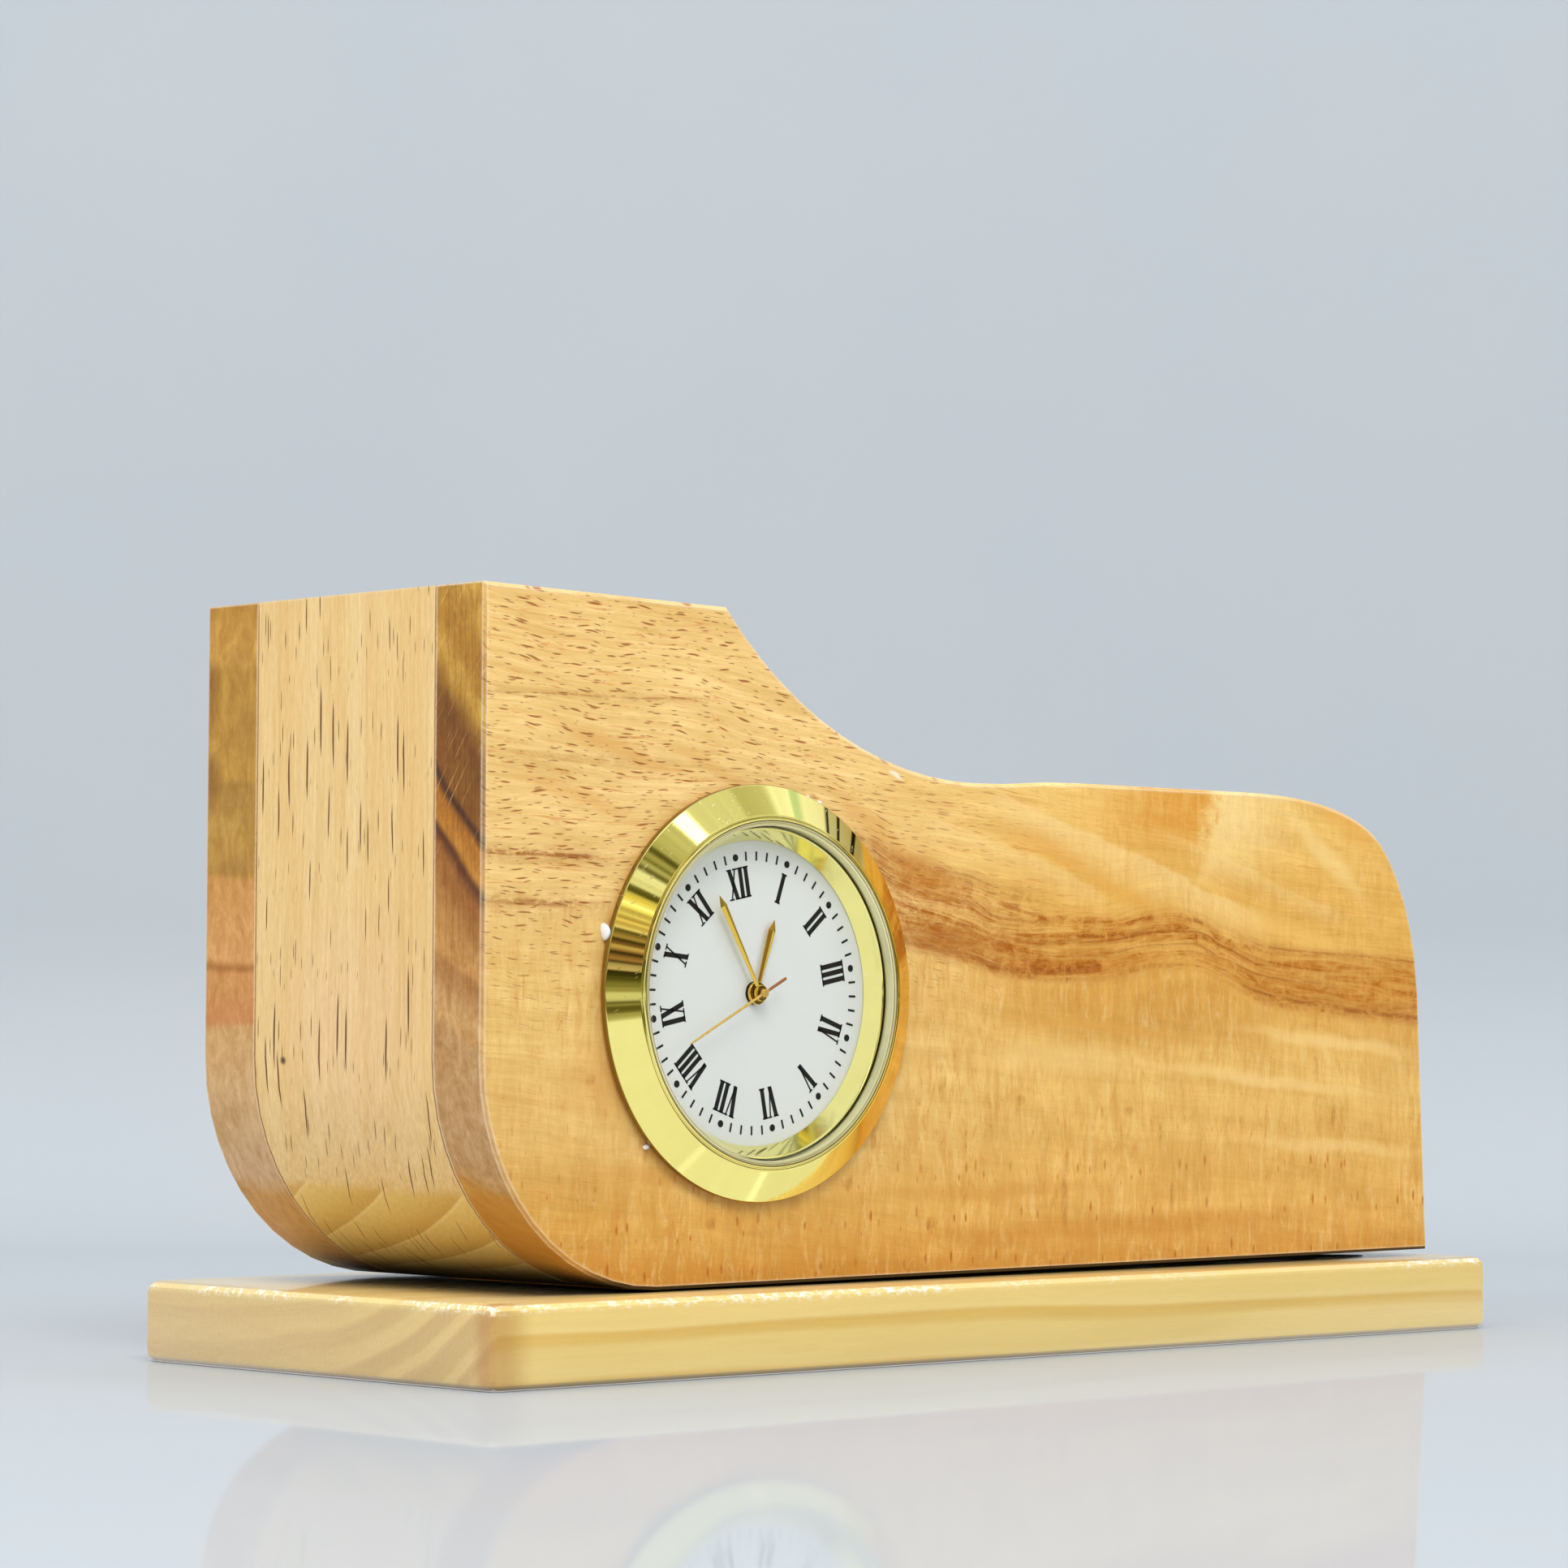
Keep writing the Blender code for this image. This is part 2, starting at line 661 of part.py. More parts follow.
def build_bezel(frame):
    """The gold ring: a flange with a sloping face, a lip round the lens, and a skirt."""
    lens_seat = BEZEL_HEIGHT - LENS_RECESS - LENS_THICK - SEAT_GAP
    bore = LENS_RADIUS + FIT_GAP
    groove = LIP_RADIUS + RING_GROOVE
    profile = [
        (bore, BEZEL_HEIGHT - RING_GROOVE / 2),
        (bore + RING_GROOVE / 2, BEZEL_HEIGHT),
        (LIP_RADIUS, BEZEL_HEIGHT),
        (LIP_RADIUS + RING_GROOVE / 2, BEZEL_HEIGHT - RING_GROOVE / 2),
        (groove, BEZEL_HEIGHT - RING_GROOVE / 2),
        (BEZEL_RADIUS - RING_GROOVE / 2, GLUE_GAP + BEZEL_RIM_THICK),
        (BEZEL_RADIUS, GLUE_GAP + BEZEL_RIM_THICK / 2),
        (BEZEL_RADIUS, GLUE_GAP),
        (SKIRT_RADIUS, GLUE_GAP),
        (SKIRT_RADIUS, -SKIRT_DEPTH),
        (SKIRT_BORE, -SKIRT_DEPTH),
        (SKIRT_BORE, lens_seat - RING_GROOVE),
        (bore, lens_seat),
    ]
    mesh = turned_mesh("bezel", profile, ROUND_STEPS, True)
    smooth(add_object("bezel", mesh, GOLD, parent=frame))


def build_lens(frame):
    """The clear lens, a little raised at its middle."""
    front = BEZEL_HEIGHT - LENS_RECESS
    back = front - LENS_THICK
    profile = [
        (0.0, front),
        (LENS_RADIUS - RING_GROOVE, front),
        (LENS_RADIUS, front - RING_GROOVE),
        (LENS_RADIUS, back),
        (0.0, back),
    ]
    mesh = turned_mesh("lens", profile, ROUND_STEPS, False)
    smooth(add_object("lens", mesh, LENS_MATERIAL, parent=frame))


def build_reflector(frame):
    """The gold ring inside the lens that leads the eye down to the dial."""
    front = -RING_FRONT
    back = -DIAL_DEPTH + FIT_GAP
    outer = LENS_RADIUS - FIT_GAP
    profile = [
        (outer - RING_GROOVE, front - FIT_GAP),
        (outer, front - FIT_GAP),
        (outer, back),
        (DIAL_SIGHT_RADIUS, back),
    ]
    mesh = turned_mesh("reflector_ring", profile, ROUND_STEPS, True)
    smooth(add_object("reflector_ring", mesh, GOLD, parent=frame))


def build_dial(frame):
    """The white dial plate with a hole for the hand tubes."""
    hole = HOUR_TUBE_RADIUS + SEAT_GAP
    profile = [
        (hole, -DIAL_DEPTH),
        (PLATE_RADIUS, -DIAL_DEPTH),
        (PLATE_RADIUS, -DIAL_BACK),
        (hole, -DIAL_BACK),
    ]
    mesh = turned_mesh("dial", profile, ROUND_STEPS, True)
    smooth(add_object("dial", mesh, DIAL_WHITE, parent=frame))


def build_band(frame):
    """The plastic band round the case that grips the hole."""
    inner = SKIRT_RADIUS + FIT_GAP
    outer = inner + BAND_THICK
    top = -SEAT_GAP
    bottom = -(CASE_BACK - CASE_BACK_THICK)
    ring = [(inner, top), (outer, top), (outer, bottom), (inner, bottom)]
    mesh = turned_mesh("friction_band", ring, ROUND_STEPS, True)
    smooth(add_object("friction_band", mesh, WHITE_PLASTIC, parent=frame))


def build_case(frame):
    """The white plastic cup that closes the clock from behind."""
    top = -(SKIRT_DEPTH + SEAT_GAP)
    profile = [
        (CASE_BORE, top),
        (SKIRT_RADIUS, top),
        (SKIRT_RADIUS, -CASE_BACK),
        (0.0, -CASE_BACK),
        (0.0, -CASE_FLOOR),
        (CASE_BORE, -CASE_FLOOR),
    ]
    mesh = turned_mesh("movement_case", profile, ROUND_STEPS, True)
    case = add_object("movement_case", mesh, WHITE_PLASTIC, parent=frame)
    hatch_low = -CASE_BACK - OVERRUN
    hatch_high = -CASE_FLOOR + OVERRUN / 2
    hatch_hole = HATCH_RADIUS + SEAT_GAP
    hole = cone_mesh("hatch_hole", hatch_hole, hatch_hole, hatch_low, hatch_high, ROUND_STEPS // 2)
    cut_with(case, hole, frame, (BATTERY_X, BATTERY_Y, 0.0))
    stem_hole = KNOB_STEM_RADIUS + SEAT_GAP
    hole = cone_mesh("stem_hole", stem_hole, stem_hole, hatch_low, hatch_high, SMALL_STEPS)
    cut_with(case, hole, frame, (*SETTING_AXIS, 0.0))
    smooth(case)


def build_hatch(frame):
    """The round battery cover with a coin slot."""
    low = -CASE_BACK
    high = -CASE_FLOOR
    mesh = cone_mesh("battery_hatch", HATCH_RADIUS, HATCH_RADIUS, low, high, ROUND_STEPS // 2)
    hatch = add_object("battery_hatch", mesh, WHITE_PLASTIC, None, frame, (BATTERY_X, BATTERY_Y, 0.0))
    half_length = HATCH_RADIUS - OVERRUN
    slot_low = (-half_length, -HATCH_SLOT_WIDTH / 2, low - OVERRUN)
    slot_high = (half_length, HATCH_SLOT_WIDTH / 2, low + HATCH_SLOT_DEPTH)
    cut_with(hatch, box_mesh("coin_slot", slot_low, slot_high), frame, (BATTERY_X, BATTERY_Y, 0.0))
    smooth(hatch)


# Hands

def hand_blade(name, length, width, root_width, back, thick):
    """A pointed blade along +y with a ridge down its middle, made as a convex hull."""
    wide = length - HAND_POINT
    edge = [
        (-root_width / 2, 0.0),
        (root_width / 2, 0.0),
        (width / 2, wide),
        (0.0, length),
        (-width / 2, wide),
    ]
    shape = bmesh.new()
    for x, y in edge:
        shape.verts.new((x, y, -back))
        shape.verts.new((x, y, -back + thick / 2))
    for y in (0.0, wide):
        shape.verts.new((0.0, y, -back + thick))
    bmesh.ops.convex_hull(shape, input=shape.verts)
    mesh = bpy.data.meshes.new(name)
    shape.to_mesh(mesh)
    shape.free()
    return mesh


def clockwise(degrees):
    """A dial angle, clockwise from twelve, as a turn about the clock's z."""
    return (0.0, 0.0, -math.radians(degrees))


def build_hand(name, frame, length, width, boss, bore, back):
    """An hour or minute hand: a ridged blade on a boss that stands a little proud."""
    blade = hand_blade(name, length, width, width / 2, back, HAND_THICK)
    hand = add_object(name, blade, GOLD, parent=frame)
    front = -back + HAND_THICK + HAND_BOSS_RISE
    join_with(hand, cone_mesh(name + "_boss", boss, boss, -back, front, SMALL_STEPS), frame)
    hole = cone_mesh(name + "_bore", bore, bore, -back - OVERRUN, front + OVERRUN, SMALL_STEPS)
    cut_with(hand, hole, frame)
    apply_modifiers(hand)
    return smooth(hand)


def build_hour_hand(frame):
    """The hour hand, pushed on the hour tube."""
    bore = HOUR_TUBE_RADIUS + FIT_GAP
    hand = build_hand(
        "hour_hand", frame, HOUR_HAND_LENGTH, HOUR_HAND_WIDTH, HOUR_BOSS_RADIUS, bore,
        HOUR_HAND_BACK,
    )
    hand.rotation_euler = clockwise(HOUR_ANGLE_DEGREES)


def build_minute_hand(frame):
    """The minute hand, pushed on the cannon tube."""
    bore = MINUTE_TUBE_RADIUS + FIT_GAP
    hand = build_hand(
        "minute_hand", frame, MINUTE_HAND_LENGTH, MINUTE_HAND_WIDTH, MINUTE_BOSS_RADIUS, bore,
        MINUTE_HAND_BACK,
    )
    hand.rotation_euler = clockwise(MINUTE_ANGLE_DEGREES)


def build_second_hand(frame):
    """The thin second hand with its tail, on a small closed boss."""
    half = SECOND_HAND_WIDTH / 2
    back = -SECOND_HAND_BACK
    front = back + HAND_THICK
    outline = [
        (-half, -SECOND_HAND_TAIL),
        (half, -SECOND_HAND_TAIL),
        (half / 2, SECOND_HAND_LENGTH),
        (-half / 2, SECOND_HAND_LENGTH),
    ]
    mesh = prism_mesh("second_hand", outline, back, front)
    hand = add_object("second_hand", mesh, GOLD, parent=frame)
    cap = cone_mesh(
        "second_boss", SECOND_BOSS_RADIUS, SECOND_BOSS_RADIUS,
        back - HAND_THICK / 2, front + HAND_THICK, TINY_STEPS,
    )
    join_with(hand, cap, frame)
    bore = SECOND_ARBOR_RADIUS + FIT_GAP
    socket = cone_mesh("second_bore", bore, bore, back - OVERRUN, back + HAND_THICK, TINY_STEPS)
    cut_with(hand, socket, frame)
    apply_modifiers(hand)
    hand.rotation_euler = clockwise(SECOND_ANGLE_DEGREES)
    smooth(hand)


# Toothed wheels

def gear_outline(teeth, module, phase):
    """A toothed outline with four points to a tooth."""
    radius = teeth * module / 2
    tip = radius + TOOTH_TIP_SHARE * module
    root = radius - TOOTH_ROOT_SHARE * module
    pitch = 360.0 / teeth
    points = []
    for i in range(teeth):
        middle = phase + i * pitch
        points.append(polar(root, middle - TOOTH_ROOT_WIDTH_SHARE * pitch))
        points.append(polar(tip, middle - TOOTH_TIP_WIDTH_SHARE * pitch))
        points.append(polar(tip, middle + TOOTH_TIP_WIDTH_SHARE * pitch))
        points.append(polar(root, middle + TOOTH_ROOT_WIDTH_SHARE * pitch))
    return points


def mesh_phase(teeth, phase, direction, other_teeth):
    """The phase that sets another wheel's gap on this wheel's tooth."""
    offset = ((direction - phase) * teeth / 360.0) % 1.0
    return direction + 180.0 + (offset + 0.5) * 360.0 / other_teeth


def gear_mesh(name, teeth, module, phase, layer):
    """A toothed disc one wheel thick, whose front lies at a layer's depth."""
    outline = gear_outline(teeth, module, phase)
    return prism_mesh(name, outline, -layer - WHEEL_THICK, -layer)


def rod_mesh(name, radius, front, back, steps=TINY_STEPS):
    """A rod along the arbor direction between two depths."""
    return cone_mesh(name, radius, radius, -back, -front, steps)


def build_hour_wheel(frame):
    """The hour wheel and its tube, which comes out through the dial."""
    phase = MOTION_DIRECTION
    mesh = gear_mesh("hour_wheel", MOTION_HOUR_TEETH, HOUR_MODULE, phase, HOUR_LAYER)
    wheel = add_object("hour_wheel", mesh, BRASS, parent=frame)
    front = HOUR_HAND_BACK - HAND_THICK
    tube = rod_mesh("hour_tube", HOUR_TUBE_RADIUS, front, HOUR_LAYER + WHEEL_THICK / 2, SMALL_STEPS)
    join_with(wheel, tube, frame)
    bore = MINUTE_TUBE_RADIUS + FIT_GAP
    back = HOUR_LAYER + WHEEL_THICK + OVERRUN
    cut_with(wheel, rod_mesh("hour_bore", bore, front - OVERRUN, back, SMALL_STEPS), frame)
    smooth(wheel)


def build_cannon(frame):
    """The cannon pinion: the minute tube with the pinion that drives the motion work."""
    phase = MOTION_DIRECTION
    mesh = gear_mesh("cannon_pinion", CANNON_TEETH, MINUTE_MODULE, phase, CANNON_LAYER)
    cannon = add_object("cannon_pinion", mesh, BRASS, parent=frame)
    front = MINUTE_HAND_BACK - HAND_THICK
    back = CANNON_LAYER + WHEEL_THICK / 2
    tube = rod_mesh("minute_tube", MINUTE_TUBE_RADIUS, front, back, SMALL_STEPS)
    join_with(cannon, tube, frame)
    bore = SECOND_ARBOR_RADIUS + FIT_GAP
    end = CANNON_LAYER + WHEEL_THICK + OVERRUN
    cut_with(cannon, rod_mesh("minute_bore", bore, front - OVERRUN, end, SMALL_STEPS), frame)
    smooth(cannon)


def motion_phases():
    """Phases of the minute wheel's teeth and of its pinion."""
    wheel = mesh_phase(CANNON_TEETH, MOTION_DIRECTION, MOTION_DIRECTION, MOTION_MINUTE_TEETH)
    pinion = mesh_phase(
        MOTION_HOUR_TEETH, MOTION_DIRECTION, MOTION_DIRECTION, MOTION_MINUTE_PINION_TEETH,
    )
    return wheel, pinion


def build_minute_wheel(frame):
    """The minute wheel, which turns on a post of the main plate."""
    wheel_phase, pinion_phase = motion_phases()
    place = (*MOTION_AXIS, 0.0)
    mesh = gear_mesh("minute_wheel", MOTION_MINUTE_TEETH, MINUTE_MODULE, wheel_phase, CANNON_LAYER)
    wheel = add_object("minute_wheel", mesh, BRASS, None, frame, place)
    outline = gear_outline(MOTION_MINUTE_PINION_TEETH, HOUR_MODULE, pinion_phase)
    top = -HOUR_LAYER
    pinion = prism_mesh("minute_pinion", outline, -CANNON_LAYER - WHEEL_THICK / 2, top)
    join_with(wheel, pinion, frame, place)
    bore = POST_RADIUS + FIT_GAP
    back = CANNON_LAYER + WHEEL_THICK + OVERRUN
    hole = rod_mesh("minute_wheel_bore", bore, HOUR_LAYER - OVERRUN, back, TINY_STEPS)
    cut_with(wheel, hole, frame, place)
    smooth(wheel)


def build_centre_wheel(frame):
    """The centre wheel, which carries the cannon pinion by friction."""
    mesh = gear_mesh("centre_wheel", CENTRE_TEETH, CENTRE_MODULE, THIRD_DIRECTION, CENTRE_LAYER)
    wheel = add_object("centre_wheel", mesh, BRASS, parent=frame)
    bore = SECOND_ARBOR_RADIUS + FIT_GAP
    hole = rod_mesh(
        "centre_bore", bore, CENTRE_LAYER - OVERRUN, CENTRE_LAYER + WHEEL_THICK + OVERRUN,
    )
    cut_with(wheel, hole, frame)
    smooth(wheel)


def build_third_wheel(frame):
    """The third wheel, between the second wheel's pinion and the centre wheel."""
    place = (*THIRD_AXIS, 0.0)
    pinion_phase = mesh_phase(CENTRE_TEETH, THIRD_DIRECTION, THIRD_DIRECTION, THIRD_PINION_TEETH)
    wheel_phase = mesh_phase(SECOND_PINION_TEETH, THIRD_DIRECTION, THIRD_DIRECTION, THIRD_TEETH)
    mesh = gear_mesh("third_wheel", THIRD_TEETH, THIRD_MODULE, wheel_phase, THIRD_LAYER)
    wheel = add_object("third_wheel", mesh, BRASS, None, frame, place)
    outline = gear_outline(THIRD_PINION_TEETH, CENTRE_MODULE, pinion_phase)
    pinion = prism_mesh("third_pinion", outline, -THIRD_LAYER - WHEEL_THICK / 2, -CENTRE_LAYER)
    join_with(wheel, pinion, frame, place)
    front = PLATE_BACK + LAYER_GAP
    back = BRIDGE_FRONT - LAYER_GAP
    join_with(wheel, rod_mesh("third_arbor", ARBOR_RADIUS, front, back), frame, place)
    smooth(wheel)


def build_second_wheel(frame):
    """The second wheel, its pinion and the long arbor that carries the second hand."""
    mesh = gear_mesh(
        "second_wheel", SECOND_TEETH, SECOND_MODULE, INTERMEDIATE_DIRECTION, SECOND_LAYER,
    )
    wheel = add_object("second_wheel", mesh, STEEL, parent=frame)
    outline = gear_outline(SECOND_PINION_TEETH, THIRD_MODULE, THIRD_DIRECTION)
    pinion = prism_mesh("second_pinion", outline, -SECOND_LAYER - WHEEL_THICK / 2, -THIRD_LAYER)
    join_with(wheel, pinion, frame)
    front = SECOND_HAND_BACK - HAND_THICK + FIT_GAP
    back = BRIDGE_FRONT - LAYER_GAP
    join_with(wheel, rod_mesh("second_arbor", SECOND_ARBOR_RADIUS, front, back), frame)
    smooth(wheel)


def build_intermediate_wheel(frame):
    """The wheel between the rotor and the second wheel."""
    place = (*INTERMEDIATE_AXIS, 0.0)
    pinion_phase = mesh_phase(
        SECOND_TEETH, INTERMEDIATE_DIRECTION, INTERMEDIATE_DIRECTION, INTERMEDIATE_PINION_TEETH,
    )
    mesh = gear_mesh(
        "intermediate_wheel", INTERMEDIATE_TEETH, ROTOR_MODULE, ROTOR_DIRECTION, INTERMEDIATE_LAYER,
    )
    wheel = add_object("intermediate_wheel", mesh, BRASS, None, frame, place)
    outline = gear_outline(INTERMEDIATE_PINION_TEETH, SECOND_MODULE, pinion_phase)
    low = -INTERMEDIATE_LAYER - WHEEL_THICK / 2
    pinion = prism_mesh("intermediate_pinion", outline, low, -SECOND_LAYER)
    join_with(wheel, pinion, frame, place)
    front = PLATE_BACK + LAYER_GAP
    back = BRIDGE_FRONT - LAYER_GAP
    join_with(wheel, rod_mesh("intermediate_arbor", ARBOR_RADIUS, front, back), frame, place)
    smooth(wheel)


def build_rotor(frame):
    """The rotor: a small magnet with its pinion and arbor."""
    place = (*ROTOR_AXIS, 0.0)
    phase = mesh_phase(INTERMEDIATE_TEETH, ROTOR_DIRECTION, ROTOR_DIRECTION, ROTOR_PINION_TEETH)
    outline = gear_outline(ROTOR_PINION_TEETH, ROTOR_MODULE, phase)
    high = -INTERMEDIATE_LAYER + LAYER_GAP / 2
    mesh = prism_mesh("rotor", outline, -STATOR_LAYER - WHEEL_THICK / 2, high)
    rotor = add_object("rotor", mesh, STEEL, None, frame, place)
    magnet = rod_mesh(
        "rotor_magnet", ROTOR_MAGNET_RADIUS, STATOR_LAYER, STATOR_LAYER + WHEEL_THICK, SMALL_STEPS,
    )
    join_with(rotor, magnet, frame, place)
    front = PLATE_BACK + LAYER_GAP
    back = BRIDGE_FRONT - LAYER_GAP
    join_with(rotor, rod_mesh("rotor_arbor", ARBOR_RADIUS, front, back), frame, place)
    smooth(rotor)


def knob_outline():
    """The ribbed edge of the setting knob."""
    points = []
    pitch = 360.0 / KNOB_RIBS
    for i in range(KNOB_RIBS):
        points.append(polar(KNOB_RADIUS, i * pitch))
        points.append(polar(KNOB_RADIUS, (i + 0.5) * pitch))
        points.append(polar(KNOB_RADIUS - KNOB_RIB_DEPTH, (i + 0.75) * pitch))
    return points


def build_knob(frame):
    """The setting knob, its stem and the pinion that turns the minute wheel."""
    place = (*SETTING_AXIS, 0.0)
    wheel_phase = motion_phases()[0]
    phase = mesh_phase(
        MOTION_MINUTE_TEETH, wheel_phase, SETTING_DIRECTION, SETTING_PINION_TEETH,
    )
    mesh = gear_mesh("setting_knob", SETTING_PINION_TEETH, MINUTE_MODULE, phase, CANNON_LAYER)
    knob = add_object("setting_knob", mesh, WHITE_PLASTIC, None, frame, place)
    head_front = CASE_BACK + SEAT_GAP
    head = prism_mesh("knob_head", knob_outline(), -head_front - KNOB_THICK, -head_front)
    join_with(knob, head, frame, place)
    stem_front = CANNON_LAYER + WHEEL_THICK / 2
    stem_back = head_front + KNOB_THICK / 2
    stem = rod_mesh("knob_stem", KNOB_STEM_RADIUS, stem_front, stem_back, SMALL_STEPS)
    join_with(knob, stem, frame, place)
    smooth(knob)


# Plates, motor, electronics and battery

def pillar_places():
    """Where the pillars between the two plates stand."""
    return [polar(PILLAR_CIRCLE_RADIUS, degrees) for degrees in PILLAR_DIRECTIONS]


def build_main_plate(frame):
    """The plate behind the dial, with its pillars, the minute wheel's post and a contact seat."""
    hole = HOUR_TUBE_RADIUS + FIT_GAP
    profile = [
        (hole, -PLATE_FRONT),
        (PLATE_RADIUS, -PLATE_FRONT),
        (PLATE_RADIUS, -PLATE_BACK),
        (hole, -PLATE_BACK),
    ]
    mesh = turned_mesh("main_plate", profile, ROUND_STEPS // 2, True)
    plate = add_object("main_plate", mesh, GREY_PLASTIC, parent=frame)
    foot = PLATE_BACK - PLATE_THICK / 2
    for x, y in pillar_places():
        pillar = rod_mesh("pillar", PILLAR_RADIUS, foot, BRIDGE_FRONT - SEAT_GAP)
        join_with(plate, pillar, frame, (x, y, 0.0))
    post = rod_mesh("motion_post", POST_RADIUS, foot, CANNON_LAYER + WHEEL_THICK)
    join_with(plate, post, frame, (*MOTION_AXIS, 0.0))
    seat = rod_mesh("contact_seat", CONTACT_WIDTH / 2, foot, negative_contact_front() - FIT_GAP)
    join_with(plate, seat, frame, (BATTERY_X, BATTERY_Y, 0.0))
    smooth(plate)


def negative_contact_front():
    """The depth of the contact strip in front of the battery."""
    return battery_front() - FIT_GAP - CONTACT_THICK


def battery_front():
    """The depth of the battery's small face."""
    return BRIDGE_BACK - BATTERY_THICK


def build_bridge(frame):
    """The plate over the train, with round holes for the battery and the setting stem."""
    mesh = rod_mesh("train_bridge", CASE_BORE - PLATE_EDGE_GAP, BRIDGE_FRONT, BRIDGE_BACK, ROUND_STEPS // 2)
    bridge = add_object("train_bridge", mesh, GREY_PLASTIC, parent=frame)
    front = BRIDGE_FRONT - OVERRUN
    back = BRIDGE_BACK + OVERRUN
    hole = rod_mesh("battery_hole", BATTERY_RADIUS + SEAT_GAP, front, back, ROUND_STEPS // 2)
    cut_with(bridge, hole, frame, (BATTERY_X, BATTERY_Y, 0.0))
    stem_hole = rod_mesh("bridge_stem_hole", KNOB_STEM_RADIUS + FIT_GAP, front, back, SMALL_STEPS)
    cut_with(bridge, stem_hole, frame, (*SETTING_AXIS, 0.0))
    smooth(bridge)


def build_bridge_screws(frame):
    """The small screw heads that hold the bridge on its pillars."""
    front = BRIDGE_BACK + FIT_GAP
    for number, (x, y) in enumerate(pillar_places(), 1):
        name = f"bridge_screw_{number}"
        mesh = rod_mesh(name, PLATE_SCREW_RADIUS, front, front + PLATE_SCREW_HEIGHT)
        smooth(add_object(name, mesh, STEEL, None, frame, (x, y, 0.0)))


def coil_end(side):
    """The middle of the coil's flange on one side."""
    reach = side * (COIL_LENGTH - COIL_FLANGE_THICK) / 2
    return polar(reach, COIL_TURN_DEGREES, (COIL_X, COIL_Y))


def arm_mesh(name, start, end, front, back):
    """A flat bar from one place to another, one arm wide."""
    along = Vector((end[0] - start[0], end[1] - start[1]))
    length = along.length
    mesh = box_mesh(name, (0.0, -STATOR_ARM_WIDTH / 2, -back), (length, STATOR_ARM_WIDTH / 2, -front))
    turn = Matrix.Rotation(math.atan2(along.y, along.x), 4, "Z")
    mesh.transform(Matrix.Translation(Vector((start[0], start[1], 0.0))) @ turn)
    return mesh


def build_stator(frame):
    """The flat iron that leads the coil's field round the rotor."""
    front = STATOR_LAYER
    back = STATOR_LAYER + WHEEL_THICK
    ring = rod_mesh("stator", STATOR_RING_RADIUS, front, back, SMALL_STEPS)
    stator = add_object("stator", ring, STEEL, None, frame, (*ROTOR_AXIS, 0.0))
    for side in (-1, 1):
        join_with(stator, arm_mesh("stator_arm", ROTOR_AXIS, coil_end(side), front, back), frame)
    hole = rod_mesh("stator_hole", STATOR_HOLE_RADIUS, front - OVERRUN, back + OVERRUN, SMALL_STEPS)
    cut_with(stator, hole, frame, (*ROTOR_AXIS, 0.0))
    smooth(stator)


def build_coil(frame):
    """The coil: a winding between two flanges, lying under the ends of the stator."""
    half = COIL_LENGTH / 2
    cheek = half - COIL_FLANGE_THICK
    profile = [
        (0.0, half),
        (COIL_FLANGE_RADIUS, half),
        (COIL_FLANGE_RADIUS, cheek),
        (COIL_RADIUS, cheek),
        (COIL_RADIUS, -cheek),
        (COIL_FLANGE_RADIUS, -cheek),
        (COIL_FLANGE_RADIUS, -half),
        (0.0, -half),
    ]
    mesh = turned_mesh("coil", profile, SMALL_STEPS, False)
    lie = Matrix.Rotation(math.radians(90.0), 4, "Y")
    turn = Matrix.Rotation(math.radians(COIL_TURN_DEGREES), 4, "Z")
    mesh.transform(turn @ lie)
    depth = STATOR_LAYER - SEAT_GAP - COIL_FLANGE_RADIUS
    smooth(add_object("coil", mesh, COPPER, None, frame, (COIL_X, COIL_Y, -depth)))


def build_board(frame):
    """The circuit board under the bridge, with its chip on the front side."""
    back = BRIDGE_FRONT - SEAT_GAP
    front = back - BOARD_THICK
    low = (BOARD_X - BOARD_LENGTH / 2, BOARD_Y - BOARD_WIDTH / 2, -back)
    high = (BOARD_X + BOARD_LENGTH / 2, BOARD_Y + BOARD_WIDTH / 2, -front)
    board = add_object("circuit_board", box_mesh("circuit_board", low, high), BOARD_GREEN, parent=frame)
    chip_front = front - CHIP_HEIGHT
    chip = rod_mesh("chip", CHIP_RADIUS, chip_front, front + BOARD_THICK / 2, SMALL_STEPS)
    join_with(board, chip, frame, (BOARD_X - BOARD_LENGTH / 4, BOARD_Y - BOARD_WIDTH / 6, 0.0))
    smooth(board)


def build_crystal(frame):
    """The quartz crystal in its small can, lying on the board."""
    mesh = cone_mesh(
        "quartz_crystal", CRYSTAL_RADIUS, CRYSTAL_RADIUS,
        -CRYSTAL_LENGTH / 2, CRYSTAL_LENGTH / 2, TINY_STEPS,
    )
    mesh.transform(Matrix.Rotation(math.radians(90.0), 4, "Y"))
    board_front = BRIDGE_FRONT - SEAT_GAP - BOARD_THICK
    depth = board_front - SEAT_GAP - CRYSTAL_RADIUS
    x = BOARD_X + (BOARD_LENGTH - CRYSTAL_LENGTH) / 2
    y = BOARD_Y + BOARD_WIDTH / 2 - CRYSTAL_RADIUS
    smooth(add_object("quartz_crystal", mesh, STEEL, None, frame, (x, y, -depth)))


def build_battery(frame):
    """The button cell, its small face to the front."""
    front = battery_front()
    inset = BATTERY_RADIUS - BATTERY_LIP * 2
    profile = [
        (0.0, -front),
        (inset, -front),
        (inset, -front - BATTERY_LIP),
        (BATTERY_RADIUS, -front - BATTERY_LIP),
        (BATTERY_RADIUS, -BRIDGE_BACK),
        (0.0, -BRIDGE_BACK),
    ]
    mesh = turned_mesh("battery", profile, ROUND_STEPS // 2, False)
    smooth(add_object("battery", mesh, CELL_STEEL, None, frame, (BATTERY_X, BATTERY_Y, 0.0)))


